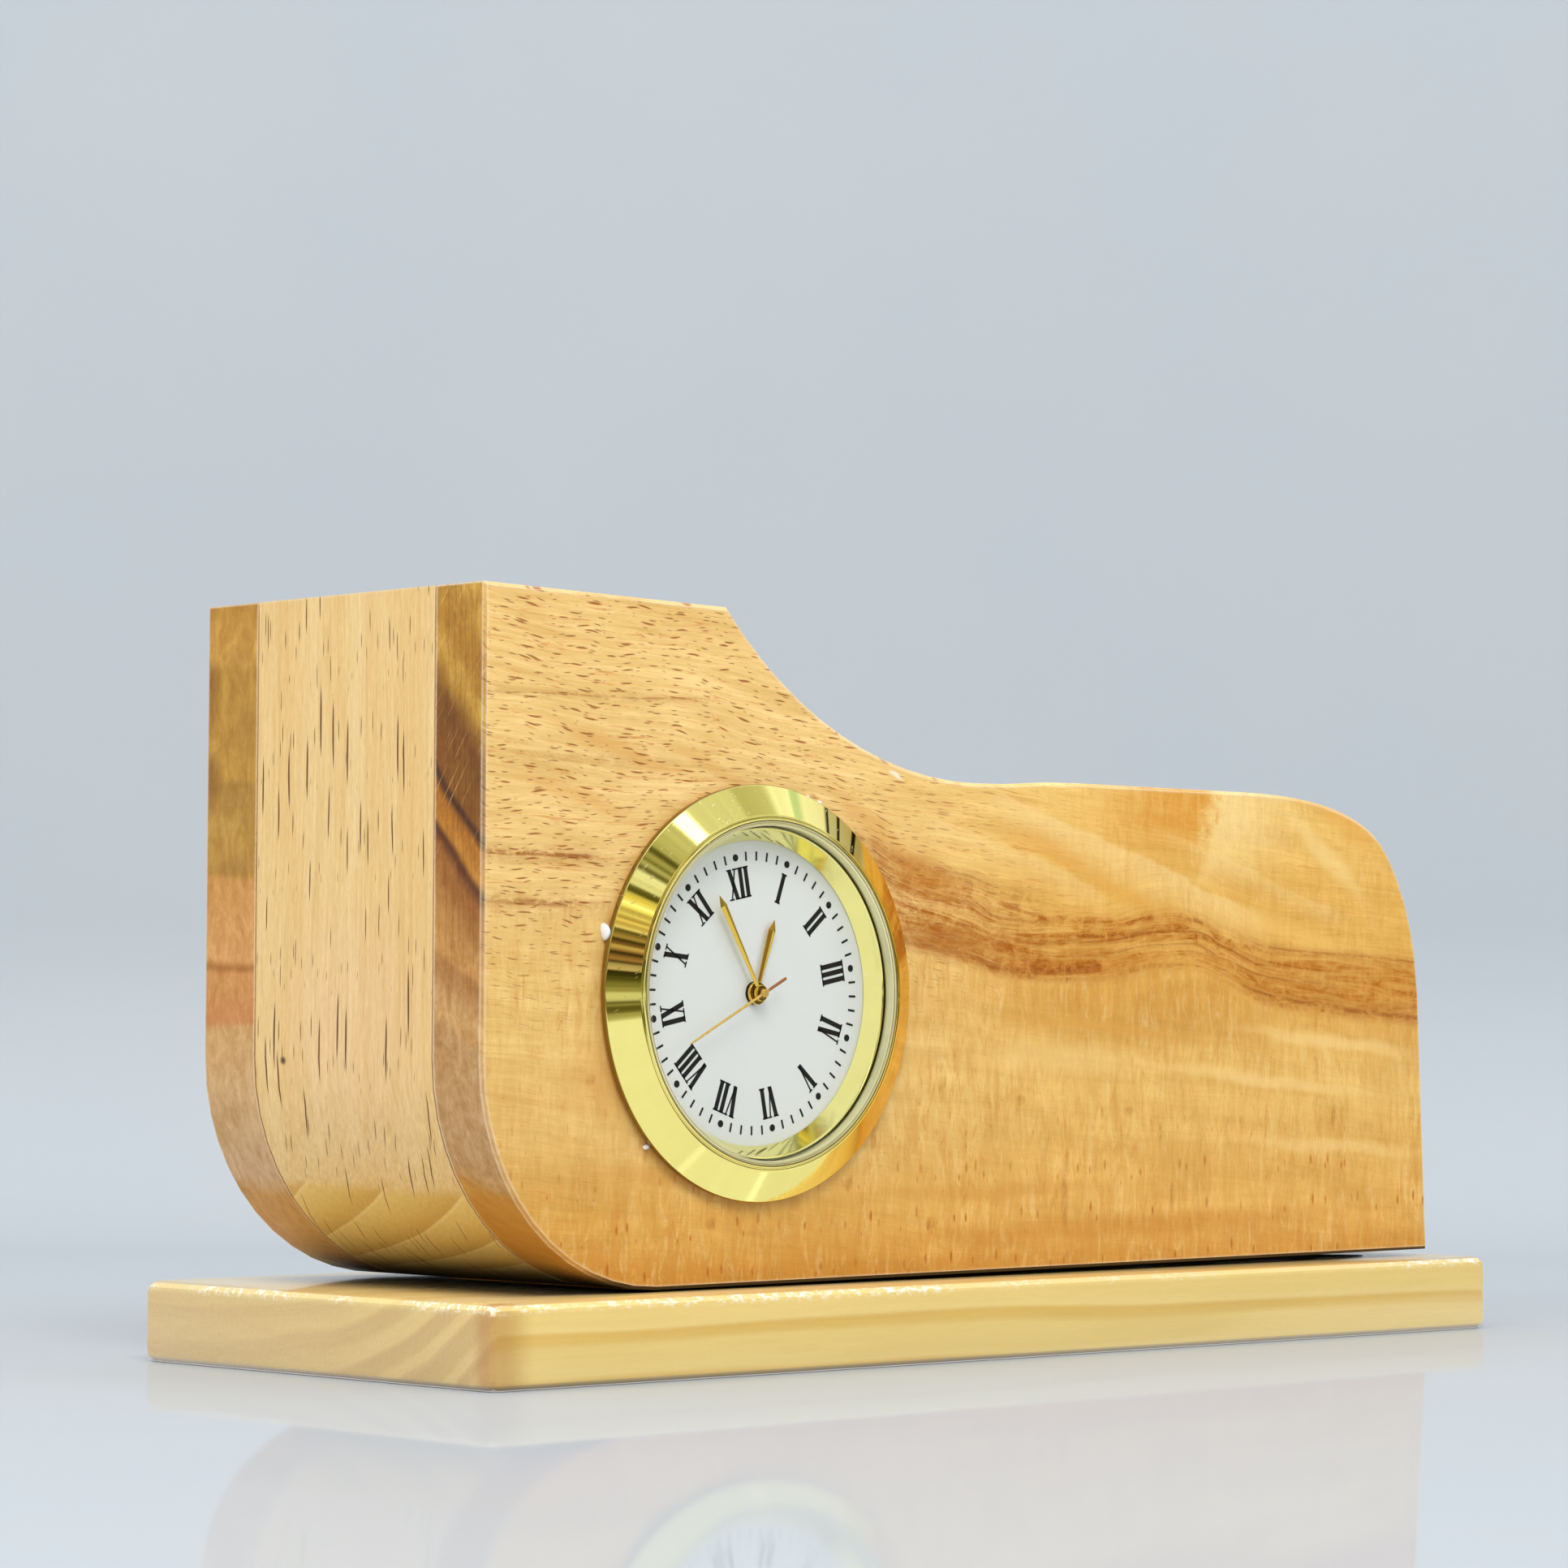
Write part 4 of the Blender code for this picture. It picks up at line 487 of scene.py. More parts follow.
def back_wood():
    """The back board: beech in level bands, rosy below."""
    look, spot, x, y, z = new_look("back_wood", BODY_CORNER)
    sway = spot.waves(0.016, 0.03, 0.05, 3)
    level = z + sway.onto(-3, 3) + y * -0.06
    grained = look.join(x, y, level)
    fine = grained.grain(0.04, 0.4, 1.5, 4)
    broad = grained.grain(0.01, 0.05, 0.12, 2)
    face = (level + broad * 4).ramp([
        (0, 214, 160, 82), (14, 228, 182, 108), (26, 206, 150, 76), (30, 232, 186, 112),
        (44, 224, 172, 92), (48, 198, 138, 62), (54, 234, 190, 116), (68, 226, 178, 102),
        (82, 236, 194, 120),
    ], 0, 82)
    face.deepen(spot.grain(1.6, 0.3, 0.1, 3, 0.65, 0.3), 0.06)
    end = level.ramp([
        (0, 186, 134, 56), (8, 196, 146, 74), (11, 210, 176, 140), (17, 206, 170, 126),
        (27.5, 204, 162, 108), (28.5, 200, 138, 84), (34, 204, 146, 86), (34.8, 172, 116, 54),
        (36, 210, 156, 94), (45.2, 202, 148, 82), (46.2, 180, 136, 62), (52, 184, 142, 66),
        (57, 170, 128, 54), (58, 188, 144, 62), (70.6, 180, 136, 56), (71.6, 198, 152, 70),
        (82, 180, 132, 54),
    ], 0, 82)
    end.deepen(end_figure(look, spot, level), 0.22)
    end.deepen(spot.grain(0.5, 0.6, 0.3, 4, 0.75, 0.5), 0.12)
    turned = look.join(y + sway.onto(-2, 2), 0, z)
    for centre, size, strength in (
        ((52.3, 61), (3.4, 4.2), 0.6), ((52, 70), (1.6, 7), 0.4), ((51.6, 73), (2.4, 3), 0.35),
        ((46, 75), (4, 2.4), 0.25), ((45, 66), (3, 5), 0.2), ((47, 50), (4, 2), 0.2),
    ):
        end.paint(turned.blob(centre, size) * strength, 124, 74, 24)
    face.deepen(fine, 0.05)
    rise = look.facing(1).ease(0.4, 0.6).either(y * 1.3, level)
    marks = x.flecks(rise, (8.6, 0.92), 0, 0.165).ease(0, 0.75) * broad.ease(0.2, 0.8, 0.25, 1)
    face.paint(marks * 0.7, 150, 92, 34)
    colour = look.facing(0).ease(0.35, 0.85).mix(face, end)
    # Pale arris: sanded wear together with a painted highlight along the edges
    colour.paint(look.arris() * fine.ease(0, 0.5, 0.4, 1) * 0.7, 252, 234, 200)
    return finish_beech(look, colour, z, fine, marks, 0.25, -0.8, 0.48, 0.36)


def block_wood():
    """Pale beech with its grain upright and long dark flecks."""
    look, spot, x, y, z = new_look("block_wood", BODY_CORNER)
    sway = spot.waves(0.05, 0.05, 0.012, 2)
    side = y + sway.onto(-1.6, 1.6)
    bend = z.fall(0, 22) * 7
    side = side - bend
    grained = look.join(x, side, z)
    fine = grained.grain(2, 2, 0.1, 4)
    broad = grained.grain(0.1, 0.2, 0.01, 3)
    face = broad.mix(rgb(228, 190, 126), rgb(236, 206, 150))
    face.paint(look.join(y, 0, z).blob((24, 30), (20, 20)) * 0.5, 232, 194, 148)
    face.deepen(fine, 0.075)
    face.deepen(grained.grain(3, 3.6, 0.55, 3, 0.7), 0.075)
    stripe = grained.grain(0.5, 0.75, 0.016, 2)
    face.paint(stripe.ease(0.6, 1, 0, 0.35), 212, 166, 92)

    wide = look.facing(1).ease(0.4, 0.6).either(side, x)
    waver = spot.waves(0.07, 0.07, 0.07, 1)
    wide = wide + waver.onto(-0.5, 0.5)
    long_marks = z.flecks(wide, (34, 1.35), 0.04, 0.15).ease(0, 0.4)
    short = z.flecks(wide, (12, 0.9), -0.02, 0.155, 5).ease(0, 0.6, 0, 0.75)
    upright = look.facing(2).fall(0.5, 0.8).most(z.fall(30, 40))
    marks = long_marks.most(short) * upright
    face.paint(marks * 0.94, 96, 52, 12)

    # Under the corner the surface cuts the rings: golden, with paler arcs
    course = z.most(0.3).math("LOGARITHM", e) + y * (1 / 23) + sway.onto(-0.08, 0.08)
    spacing = 0.65
    ring = ((course - (2.2 - spacing)) * (1 / spacing)).math("FRACT")
    golden = ring.ramp([
        (0, 206, 162, 74), (0.4, 220, 182, 94), (0.9, 230, 196, 114), (0.96, 238, 208, 134),
        (1, 206, 162, 74),
    ], 0, 1, False)
    golden.deepen(fine, 0.05)
    golden.paint(marks * 0.7, 126, 80, 26)
    under = (z + waver.onto(-0.8, 0.8)).ease(10.8, 12.6, 0.9, 0)
    outside = x.most(0).fall(24, 29)
    colour = (under * outside).mix(face, golden)
    colour.paint(look.join(y, 0, z).blob((36.8, 26.6), (0.8, 0.7)) * 0.9, 66, 38, 18)
    # Pale arris: sanded wear together with a painted highlight along the edges
    colour.paint(look.arris() * fine.ease(0, 0.5, 0.5, 1) * 0.45, 250, 226, 176)
    return finish_beech(look, colour, z, fine, marks, 0.3, -1, 0.52, 0.42)


def base_wood():
    """Varnished pine: rings that run along the plate and slant across its ends."""
    look, spot, x, y, z = new_look("base_wood", BASE_CORNER)
    sway = spot.waves(0.008, 0.03, 0.05, 2)
    bow = look.math("POWER", e, y * (-1.0 / 19.3)) * -16.2
    slant = z * 0.82 + bow + sway.onto(-2.2, 2.2)
    thick = look.join(slant * 0.25, 0, 0).noise(1, 1)
    ring = ((slant + thick * 5) * 0.24).math("FRACT")
    grained = look.join(x, y, slant)
    fine = grained.grain(0.03, 1.2, 2.2, 4)
    colour = ring.ramp([
        (0, 240, 212, 136), (0.5, 237, 208, 130), (0.74, 228, 192, 106), (0.84, 226, 188, 102),
        (1, 240, 212, 136),
    ])
    colour.deepen(fine, 0.022)
    colour.deepen(grained.grain(0.02, 0.08, 0.3, 2), 0.03)
    end = ring.ramp([
        (0, 220, 190, 126), (0.3, 216, 187, 124), (0.62, 198, 166, 108), (0.78, 196, 163, 106),
        (1, 220, 190, 126),
    ])
    end.paint(y.ease(12, 40, 0.25, 0.75), 214, 184, 122)
    end.deepen(spot.grain(0.2, 2.4, 0.7, 3, 0.7), 0.025)
    end.deepen(grained.grain(0.2, 0.1, 2.4, 3, 0.7), 0.03)
    colour = look.facing(0).ease(0.4, 0.9).mix(colour, end)
    # Upward faces are laid over with a paler, greyer tone in soft patches
    top = look.facing(2).ease(0.5, 0.9)
    top_patches = spot.grain(0.06, 0.12, 0.1, 3)
    colour.paint(top * top_patches.onto(0.1, 0.6), 222, 200, 156)
    for centre, size, strength, paint in (
        ((170, 3.2), (2.6, 1.4), 0.75, (158, 110, 44)), ((1, 1), (6, 3), 0.6, (176, 122, 52)),
    ):
        colour.paint(look.join(x, 0, y).blob(centre, size) * strength, *paint)

    # The body keeps light off the plate under it, but not in its two open wells
    wells = x.between(34, 66, 0.5).most(x.between(78, 160, 0.5)) * y.between(16.2, 49.4, 0.5)
    shaded = y.between(9.5, 60, 3) * x.ease(6, 20) * (1 - wells) * x.fall(158, 176) * z.ease(9, 9.7)
    colour.paint(shaded * 0.93, 30, 18, 8)
    # Painted highlight along the plate's rounded top edge, broken into painted glints in speckled runs
    upward = look.facing(2)
    edge = upward.between(0.22, 0.93, 0.12) * z.ease(7, 8.2)
    glint_speckle = spot.grain(0.9, 1.5, 1.5, 3, 0.7)
    runs = spot.grain(0.05, 0.12, 0.05, 1).ease(0.15, 0.7)
    glints = edge * glint_speckle.ease(0.46, 0.74) * runs
    colour.paint(edge * 0.45, 255, 232, 150)
    colour.paint(glints * 0.9, 255, 252, 238)
    # Painted shadow: the lowest millimetre of the plate darkened where it meets the table
    colour.paint(z.ease(0.1, 0.9, 0.8, 0), 70, 46, 18)
    pits = spot.waves(1.4, 1.4, 1.4, 3, 0.7)
    waves = spot.waves(0.12, 0.25, 0.5, 2)
    height = pits * edge.onto(0.15, 1) + waves * 0.8
    shine = fine.onto(0.34, 0.24)
    return look.finish(colour, shine, height, 100, coat_weight=0.6, coat_roughness=0.1)


def across_dial(x, z):
    """Millimetres from the clock's axis."""
    return (x * x + z * z).math("SQRT")


def turned_gold(name, base, roughness, streak=0.04):
    """Polished gilt metal with fine turning lines, dust and hair scratches, and painted light: a deeper
    yellow where the cone mirrors the wood, a dark outer edge and a pale lip.
    """
    look, spot, x, y, z = new_look(name)
    radius = across_dial(x, z)
    angle = z.math("ARCTAN2", x)
    lines = look.join(radius * 9, y * 9, 0).noise(1, 2)
    sector = look.join(angle * 9, radius * 0.05, 0).noise(1, 3)
    cloud = spot.noise(0.35, 3)
    # Painted reflection: the right of the cone turns a deeper yellow, where it mirrors the wood
    painted_wood_reflection = x.ease(7, 17) * radius.ease(20.5, 20.9)
    colour = painted_wood_reflection.mix(base, rgb(246, 206, 78))
    # Painted shade: the outer side of the flange darkened where it meets the wood
    colour.paint(radius.ease(24.9, 24.96, 0, 0.8), 112, 74, 18)
    # Painted highlight: a pale band round the lip next to the lens
    rim = radius.ease(20.75, 20.45) * radius.ease(19.93, 19.98)
    colour.paint(rim, 255, 250, 206)
    colour = sector.shade(colour, 1 - streak, 1 + streak)
    colour = cloud.shade(colour, 0.96, 1.03)
    slanted = x + z * 0.6
    hairs = slanted.flecks(z - x * 0.7, (5, 0.9), -0.04, 0.11).most(
        (x - z).flecks(z + x, (6, 1.4), -0.06, 0.07, 9)
    )
    scratch = hairs.ease(0, 0.5) * z.ease(-8, 18, 0.25, 1)
    colour.paint(scratch * 0.65, 255, 253, 232)
    shine = lines.onto(roughness * 0.8, roughness * 1.2) + (scratch * 0.2 + rim * 0.34)
    height = lines * 0.4 + scratch * -0.6
    return look.finish(colour, shine, height, 2, metallic=1)


def hand_gold():
    """Bright gilt with faint draw lines."""
    look, spot, *_ = new_look("hand_gold")
    fine = spot.waves(6, 6, 6, 3)
    colour = fine.shade(rgb(238, 204, 92), 0.93, 1.05)
    return look.finish(colour, fine.onto(0.1, 0.18), fine, 1, metallic=1)


def second_gold():
    """Pale gilt lacquer on the thin second hand."""
    look, spot, x, *_ = new_look("second_gold")
    fine = spot.grain(5, 5, 5)
    colour = fine.shade(rgb(222, 182, 88), 0.92, 1.04)
    colour.paint(x.ease(0.4, 0.9, 0, 0.9), 150, 84, 40)
    return look.finish(colour, fine.onto(0.22, 0.32), fine, 1, metallic=0.3)


def lens_clear():
    """Clear flat lens: it passes light and mirrors a little more at a slant, with dust at its rim."""
    look, spot, x, _, z = new_look("lens_clear")
    dust = spot.noise(3, 3, 0.7)
    rim = across_dial(x, z).ease(19, 19.9, 0, 0.12)
    haze = rim + dust.ease(0.62, 0.8, 0, 0.02)
    slant = look.out(0, "Fresnel", {"IOR": 1.3})
    share = look.math("ADD", slant, haze, True)
    for none, kind in (
        ("Backfacing", "NewGeometry"), ("Is Shadow Ray", "LightPath"),
        ("Is Diffuse Ray", "LightPath"),
    ):
        share = share * (1 - look.out(none, kind))
    clear = look.out(0, "BsdfTransparent", {"Color": (0.99, 0.995, 0.99, 1)})
    gloss = look.out(0, "BsdfGlossy", {"Color": WHITE, "Roughness": 0.02})
    return look.surface(look.out(0, "MixShader", {0: share, 1: clear, 2: gloss}))


def dial_white():
    """Off-white card with the faintest tooth."""
    look, spot, x, _, z = new_look("dial_white")
    radius = across_dial(x, z)
    paper = spot.noise(5, 4, 0.7)
    cloud = spot.noise(0.12, 2)
    colour = paper.shade(rgb(230, 231, 228), 0.985, 1.015)
    colour.paint(cloud.ease(0.4, 0.7, 0, 0.3), 222, 225, 226)
    colour.paint(radius.ease(17.4, 18.6, 0, 0.25), 232, 230, 190)
    return look.finish(colour, paper.onto(0.5, 0.62), paper, 4)


def patched(name, corner, noise, first, second, shine, depth, **plain):
    """A colour that drifts into another in soft patches."""
    look = Look(name)
    patch = look.place(corner).noise(*noise)
    return look.finish(patch.mix(rgb(*first), rgb(*second)), patch.onto(*shine), patch, depth, **plain)


def moulded(name, base, roughness):
    """Moulded plastic: a fine spark texture with flow marks and a little dust."""
    look, spot, *_ = new_look(name)
    spark = spot.noise(2.2, 4, 0.7)
    flow = spot.waves(0.15, 0.6, 0.15, 2, 0.5, 1.5)
    colour = spark.shade(flow.shade(base, 0.93, 1.05), 0.96, 1.03)
    shine = spark.onto(roughness - 0.08, roughness + 0.1)
    return look.finish(colour, shine, spark, 10)


def rolled(name, base, roughness, axis):
    """Rolled or turned metal with fine parallel lines."""
    look, spot, *_ = new_look(name)
    lines = spot.waves(*axis, 3.0, 0.6)
    cloud = spot.noise(0.25, 3)
    colour = cloud.shade(lines.shade(base, 0.88, 1.08), 0.9, 1.06)
    shine = lines.onto(roughness - 0.08, roughness + 0.1)
    return look.finish(colour, shine, lines, 4, metallic=1)


def middle_of(low, high):
    return tuple((a + b) / 2 for a, b in zip(low, high))


def copper_winding():
    """Lacquered fine wire, wound round the bobbin side by side."""
    look, spot, x, _, z = new_look("copper", middle_of(*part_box("coil")))
    slope = radians(-45.0 + CLOCK_TURN)
    along = x * cos(slope) + z * sin(slope)
    turns = (along * (2 * pi / 0.22)).math("SINE")
    patch = spot.noise(0.9, 3)
    colour = turns.span(-1, 1).ramp([(0, 96, 40, 20), (0.6, 196, 104, 58), (1, 226, 140, 88)])
    colour = patch.shade(colour, 0.86, 1.1)
    shine = patch.onto(0.25, 0.4)
    return look.finish(colour, shine, turns.span(-1, 1), 40, metallic=0.8)


def board_green():
    """Glass-fibre board: solder mask over copper tracks, with its black drop of resin."""
    look, spot, _, y, _ = new_look("board_green", middle_of(*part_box("circuit_board")))
    inputs = {"Vector": spot.stretched(0.9, 0.4, 0.9), "Scale": 1}
    far = look.out("Distance", "TexVoronoi", inputs, feature="DISTANCE_TO_EDGE")
    track = far.fall(0.05, 0.09)
    weave = spot.waves(3, 3, 3, 2)
    colour = track.mix(rgb(24, 92, 52), rgb(58, 128, 70))
    colour = weave.shade(colour, 0.9, 1.08)
    colour.paint(y.ease(-0.15, -0.05, 0, 1), 20, 20, 22)
    return look.finish(colour, weave.onto(0.3, 0.45), track, 20)


LOOKS = {"gold": hand_gold()}
for material in (
    front_wood(), back_wood(), block_wood(), base_wood(), lens_clear(), dial_white(),
    moulded("white_plastic", rgb(222, 220, 212), 0.4), moulded("grey_plastic", rgb(96, 98, 102), 0.5),
    rolled("brass", rgb(214, 176, 96), 0.28, (5, 0.6, 5)),
    rolled("steel", rgb(176, 178, 182), 0.32, (0.4, 6, 0.4)), copper_winding(), board_green(),
    rolled("cell_steel", rgb(196, 197, 200), 0.24, (4, 0.5, 0.5)),
    rolled("contact_metal", rgb(206, 198, 170), 0.3, (0.5, 0.5, 6)),
):
    LOOKS[material.name.removesuffix("_look")] = material


def smooth_group():
    """A modifier that joins the frame's loose faces and shades them by angle."""
    group = bpy.data.node_groups.new("smooth_parts", "GeometryNodeTree")
    for way in ("INPUT", "OUTPUT"):
        group.interface.new_socket("Geometry", in_out=way, socket_type="NodeSocketGeometry")
    look = Look(tree=group)
    mesh = look.out(0, "NodeGroupInput")
    for kind, inputs in (
        ("MergeByDistance", {"Distance": MICROMETRE}),
        ("RemoveAttribute", {"Name": "custom_normal"}),
        ("SetShadeSmooth", {}),
    ):
        mesh = look.out(0, "GeometryNode" + kind, {"Geometry": mesh, **inputs})
    angle = look.out("Unsigned Angle", "GeometryNodeInputMeshEdgeAngle")
    inputs = {0: angle, 1: radians(SMOOTH_DEGREES)}
    sharp = look.out(0, "FunctionNodeCompare", inputs, operation="GREATER_THAN")
    inputs = {"Geometry": mesh, "Selection": sharp, "Shade Smooth": False}
    look.node("NodeGroupOutput", {0: look.out(0, "GeometryNodeSetShadeSmooth", inputs, domain="EDGE")})
    return group


SMOOTH = smooth_group()
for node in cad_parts.values():
    slot_name = node.data.materials[0].name.split(".")[0]
    for slot in node.material_slots:
        slot.link = "OBJECT"
        slot.material = LOOKS[slot_name]
    node.modifiers.new("smooth", "NODES").node_group = SMOOTH


# Pieces

def add_object(name, data):
    """Put an object into the scene."""
    made = bpy.data.objects.new(name, data)
    bpy.context.scene.collection.objects.link(made)
    return made


def add_mesh(name, shape, material):
    """Put a bmesh into the scene."""
    mesh = bpy.data.meshes.new(name)
    shape.to_mesh(mesh)
    shape.free()
    mesh.materials.append(material)
    return add_object(name, mesh)


def add_piece(name, shape, material, body, matrix=CLOCK_FRAME, smooth=True):
    """Make a piece from a bmesh in millimetres, place it and let it ride."""
    shape.transform(matrix @ Matrix.Scale(MM, 4))
    bmesh.ops.recalc_face_normals(shape, faces=shape.faces)
    piece = add_mesh(name, shape, material)
    if smooth:
        piece.data.shade_smooth()
        piece.data.set_sharp_from_angle(angle=radians(PIECE_DEGREES))
    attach(piece, body)
    return piece


def polar(radius, angle):
    """The two coordinates of a point on a circle."""
    return radius * cos(angle), radius * sin(angle)


def bridge(shape, rows):
    """Add the faces between rows of corners. A row of two is open, and a longer one is a closed loop."""
    for here, there in zip(rows, rows[1:]):
        for i in range(len(here) if len(here) > 2 else 1):
            j = (i + 1) % len(here)
            shape.faces.new((here[i], here[j], there[j], there[i]))


def lathe(profile, steps):
    """A closed ring turned from a closed outline of radius and height."""
    shape = bmesh.new()
    rows = []
    for step in range(steps):
        angle = 2.0 * pi * step / steps
        rows.append([
            shape.verts.new((*polar(radius, angle), height)) for radius, height in profile
        ])
    bridge(shape, rows + rows[:1])
    return shape


def arc(centre, radius, start, end, steps):
    """Points along an arc in the plane of radius and height."""
    points = []
    for step in range(steps + 1):
        x, y = polar(radius, radians(start + (end - start) * step / steps))
        points.append((centre[0] + x, centre[1] + y))
    return points


def build_bezel():
    """The gilt bezel: rolled rim, polished cone, two fine grooves and the lip round the lens."""
    slope = radians(29.5)
    profile = [(21.55, -3.95), (21.55, 0.32), (24.70, 0.32)]
    profile += arc((24.70, 0.62), 0.30, -90.0, 0.0, 6)
    profile += arc((24.78, 1.06), 0.22, 0.0, 60.0, 4)
    rim_radius, rim_height = profile[-1]
    for inward in (0.05, 0.10, 1.80, 3.50, 3.56, 3.62):
        profile.append((rim_radius - inward, rim_height + inward * tan(slope)))
    profile += [(21.16, 3.32), (21.08, 3.28), (20.98, 3.29), (20.92, 3.33)]
    profile += arc((20.64, 3.25), 0.24, 20.0, 90.0, 5)
    profile += [(20.46, 3.44), (20.40, 3.36), (20.32, 3.36), (20.26, 3.43)]
    profile += arc((20.16, 3.32), 0.14, 60.0, 180.0, 4)
    profile += [(20.02, 2.0), (20.62, 1.85), (20.62, -3.95)]
    gold = turned_gold("bezel_gold", rgb(249, 240, 150), 0.03)
    piece = add_piece("bezel_turned", lathe(profile, 360), gold, "insert")
    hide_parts("bezel")


def build_reflector():
    """The gilt ring inside the lens, which mirrors the edge of the dial."""
    profile = [(19.86, 1.80), (19.74, 1.98)]
    profile += [(19.70 - 1.36 * step / 8, 1.96 - 2.02 * step / 8) for step in range(9)]
    profile += [(18.32, -0.09), (19.86, -0.09)]
    gold = turned_gold("reflector_gold", rgb(250, 242, 160), 0.08, 0.03)
    piece = add_piece("reflector_turned", lathe(profile, 256), gold, "insert")
    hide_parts("reflector_ring")


def ridged(shape, outline, low, ridge):
    """Add a blade with a sharp ridge along its middle, as a convex hull."""
    made = bmesh.new()
    for x, y in outline:
        made.verts.new((x, y, low))
        made.verts.new((x, y, low + 0.08))
    for y in (outline[0][1], outline[2][1]):
        made.verts.new((0.0, y, low + ridge))
    bmesh.ops.convex_hull(made, input=made.verts)
    mesh = bpy.data.meshes.new("blade")
    made.to_mesh(mesh)
    made.free()
    shape.from_mesh(mesh)
    bpy.data.meshes.remove(mesh)


def add_hand(name, body, gold, degrees, shape, outline, low, ridge):
    """Add a ridged blade to a turned boss, as the hand that stands at an angle."""
    ridged(shape, outline, low, ridge)
    return add_piece(f"{name}_blade", shape, gold, body, CLOCK_FRAME @ turn(-degrees, "Z"), False)


def build_hands():
    """The three hands: ridged blades on turned bosses, one bright side and one dark."""
    gold = hand_gold()
    for name, body, degrees, length, width, low, boss, bore in (
        ("hour", "hour_group", 29.3, 9.3, 1.15, 0.25, 1.38, 1.1),
        ("minute", "minute_group", 340.6, 13.4, 0.98, 0.93, 0.98, 0.74),
    ):
        top = low + 0.34
        shape = lathe([(bore, low), (boss, low), (boss, low + 0.28), (boss - 0.07, top), (bore, top)], 48)
        wide = length - 1.4
        root = boss * 0.86
        outline = [
            (-width / 4, root), (width / 4, root), (width / 2, wide), (0, length), (-width / 2, wide),
        ]
        piece = add_hand(name, body, gold, degrees, shape, outline, low, 0.22)
        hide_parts(f"{name}_hand")
    shape = lathe([(0.02, 1.52), (0.50, 1.52), (0.50, 1.93), (0.42, 2.00), (0.02, 2.00)], 32)
    outline = [(-0.19, -4.0), (0.19, -4.0), (0.13, 12.6), (0.0, 13.6), (-0.13, 12.6)]
    gold = second_gold()
    piece = add_hand("second", "second_group", gold, 254.0, shape, outline, 1.61, 0.18)
    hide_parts("second_hand")


PRINT_LOW, PRINT_HIGH = -0.195, -0.165
NUMERAL_RADIUS, TRACK_RADIUS, DOT_RADIUS = 13.35, 16.45, 0.43


def prism(shape, outline):
    """Add a flat closed print to a bmesh."""
    low = [shape.verts.new((x, y, PRINT_LOW)) for x, y in outline]
    high = [shape.verts.new((x, y, PRINT_HIGH)) for x, y in outline]
    shape.faces.new(low[::-1])
    shape.faces.new(high)
    bridge(shape, (low, high))


def bar(start, end, thick):
    """The outline of a stroke whose ends are cut level."""
    half = thick / 2
    return [
        (start[0] - half, start[1]), (start[0] + half, start[1]), (end[0] + half, end[1]),
        (end[0] - half, end[1]),
    ]


GLYPH_HEIGHT = 3.75
STEM, HAIR, SERIF = 0.60, 0.20, 0.19
WIDTHS = {"I": 0.92, "V": 1.75, "X": 1.75}


def glyph(letter, left):
    """Strokes of one Roman letter, from its left side, centred in height."""
    top, low = GLYPH_HEIGHT / 2, -GLYPH_HEIGHT / 2
    width = WIDTHS[letter]
    middle = left + width / 2
    strokes = []

    def serif(at, height, reach):
        edge = height - SERIF if height > 0 else height
        strokes.append([
            (at - reach, edge), (at + reach, edge), (at + reach, edge + SERIF),
            (at - reach, edge + SERIF),
        ])

    if letter == "I":
        strokes.append(bar((middle, low), (middle, top), STEM))
        serif(middle, top, 0.44)
        serif(middle, low, 0.44)
    elif letter == "V":
        strokes.append(bar((middle + 0.05, low), (left + 0.42, top), STEM))
        strokes.append(bar((middle + 0.05, low), (left + width - 0.34, top), HAIR))
        serif(left + 0.42, top, 0.42)
        serif(left + width - 0.34, top, 0.30)
    else:
        strokes.append(bar((left + width - 0.42, low), (left + 0.42, top), STEM))
        strokes.append(bar((left + 0.36, low), (left + width - 0.36, top), HAIR))
        for height in (top, low):
            serif(left + 0.40, height, 0.38)
            serif(left + width - 0.40, height, 0.38)
    return strokes


def turned_point(point, degrees, distance):
    """A point of an upright mark, moved to its place on the dial."""
    x, y = point[0], point[1] + distance
    angle = -radians(degrees)
    return (x * cos(angle) - y * sin(angle), x * sin(angle) + y * cos(angle))


def build_print():
    """Roman numerals, hour dots and minute marks, as thin print on the dial."""
    ink = patched("print_ink", CLOCK_CENTRE, (4, 3, 0.7), (8, 9, 12), (22, 23, 28), (0.35, 0.5), 2)
    numerals = ("XII", "I", "II", "III", "IV", "V", "VI", "VII", "VIII", "IX", "X", "XI")
    shape = bmesh.new()
    for hour, text in enumerate(numerals):
        total = sum(WIDTHS[letter] for letter in text)
        squeeze = min(1.0, 4.3 / total)
        left = -total / 2
        for letter in text:
            for outline in glyph(letter, left):
                points = [turned_point((x * squeeze, y), hour * 30.0, NUMERAL_RADIUS) for x, y in outline]
                prism(shape, points)
            left += WIDTHS[letter]
    add_piece("dial_numerals", shape, ink, "insert", smooth=False)

    dots = bmesh.new()
    for hour in range(12):
        outline = [
            turned_point(polar(DOT_RADIUS, radians(15.0 * step)), hour * 30.0, TRACK_RADIUS)
            for step in range(24)
        ]
        prism(dots, outline)
    add_piece("dial_dots", dots, ink, "insert", smooth=False)

    ticks = bmesh.new()
    for minute in range(60):
        if minute % 5:
            outline = [(-0.13, -0.55), (0.13, -0.55), (0.13, 0.55), (-0.13, 0.55)]
            prism(ticks, [turned_point(point, minute * 6.0, TRACK_RADIUS) for point in outline])
    add_piece("dial_ticks", ticks, ink, "insert", smooth=False)


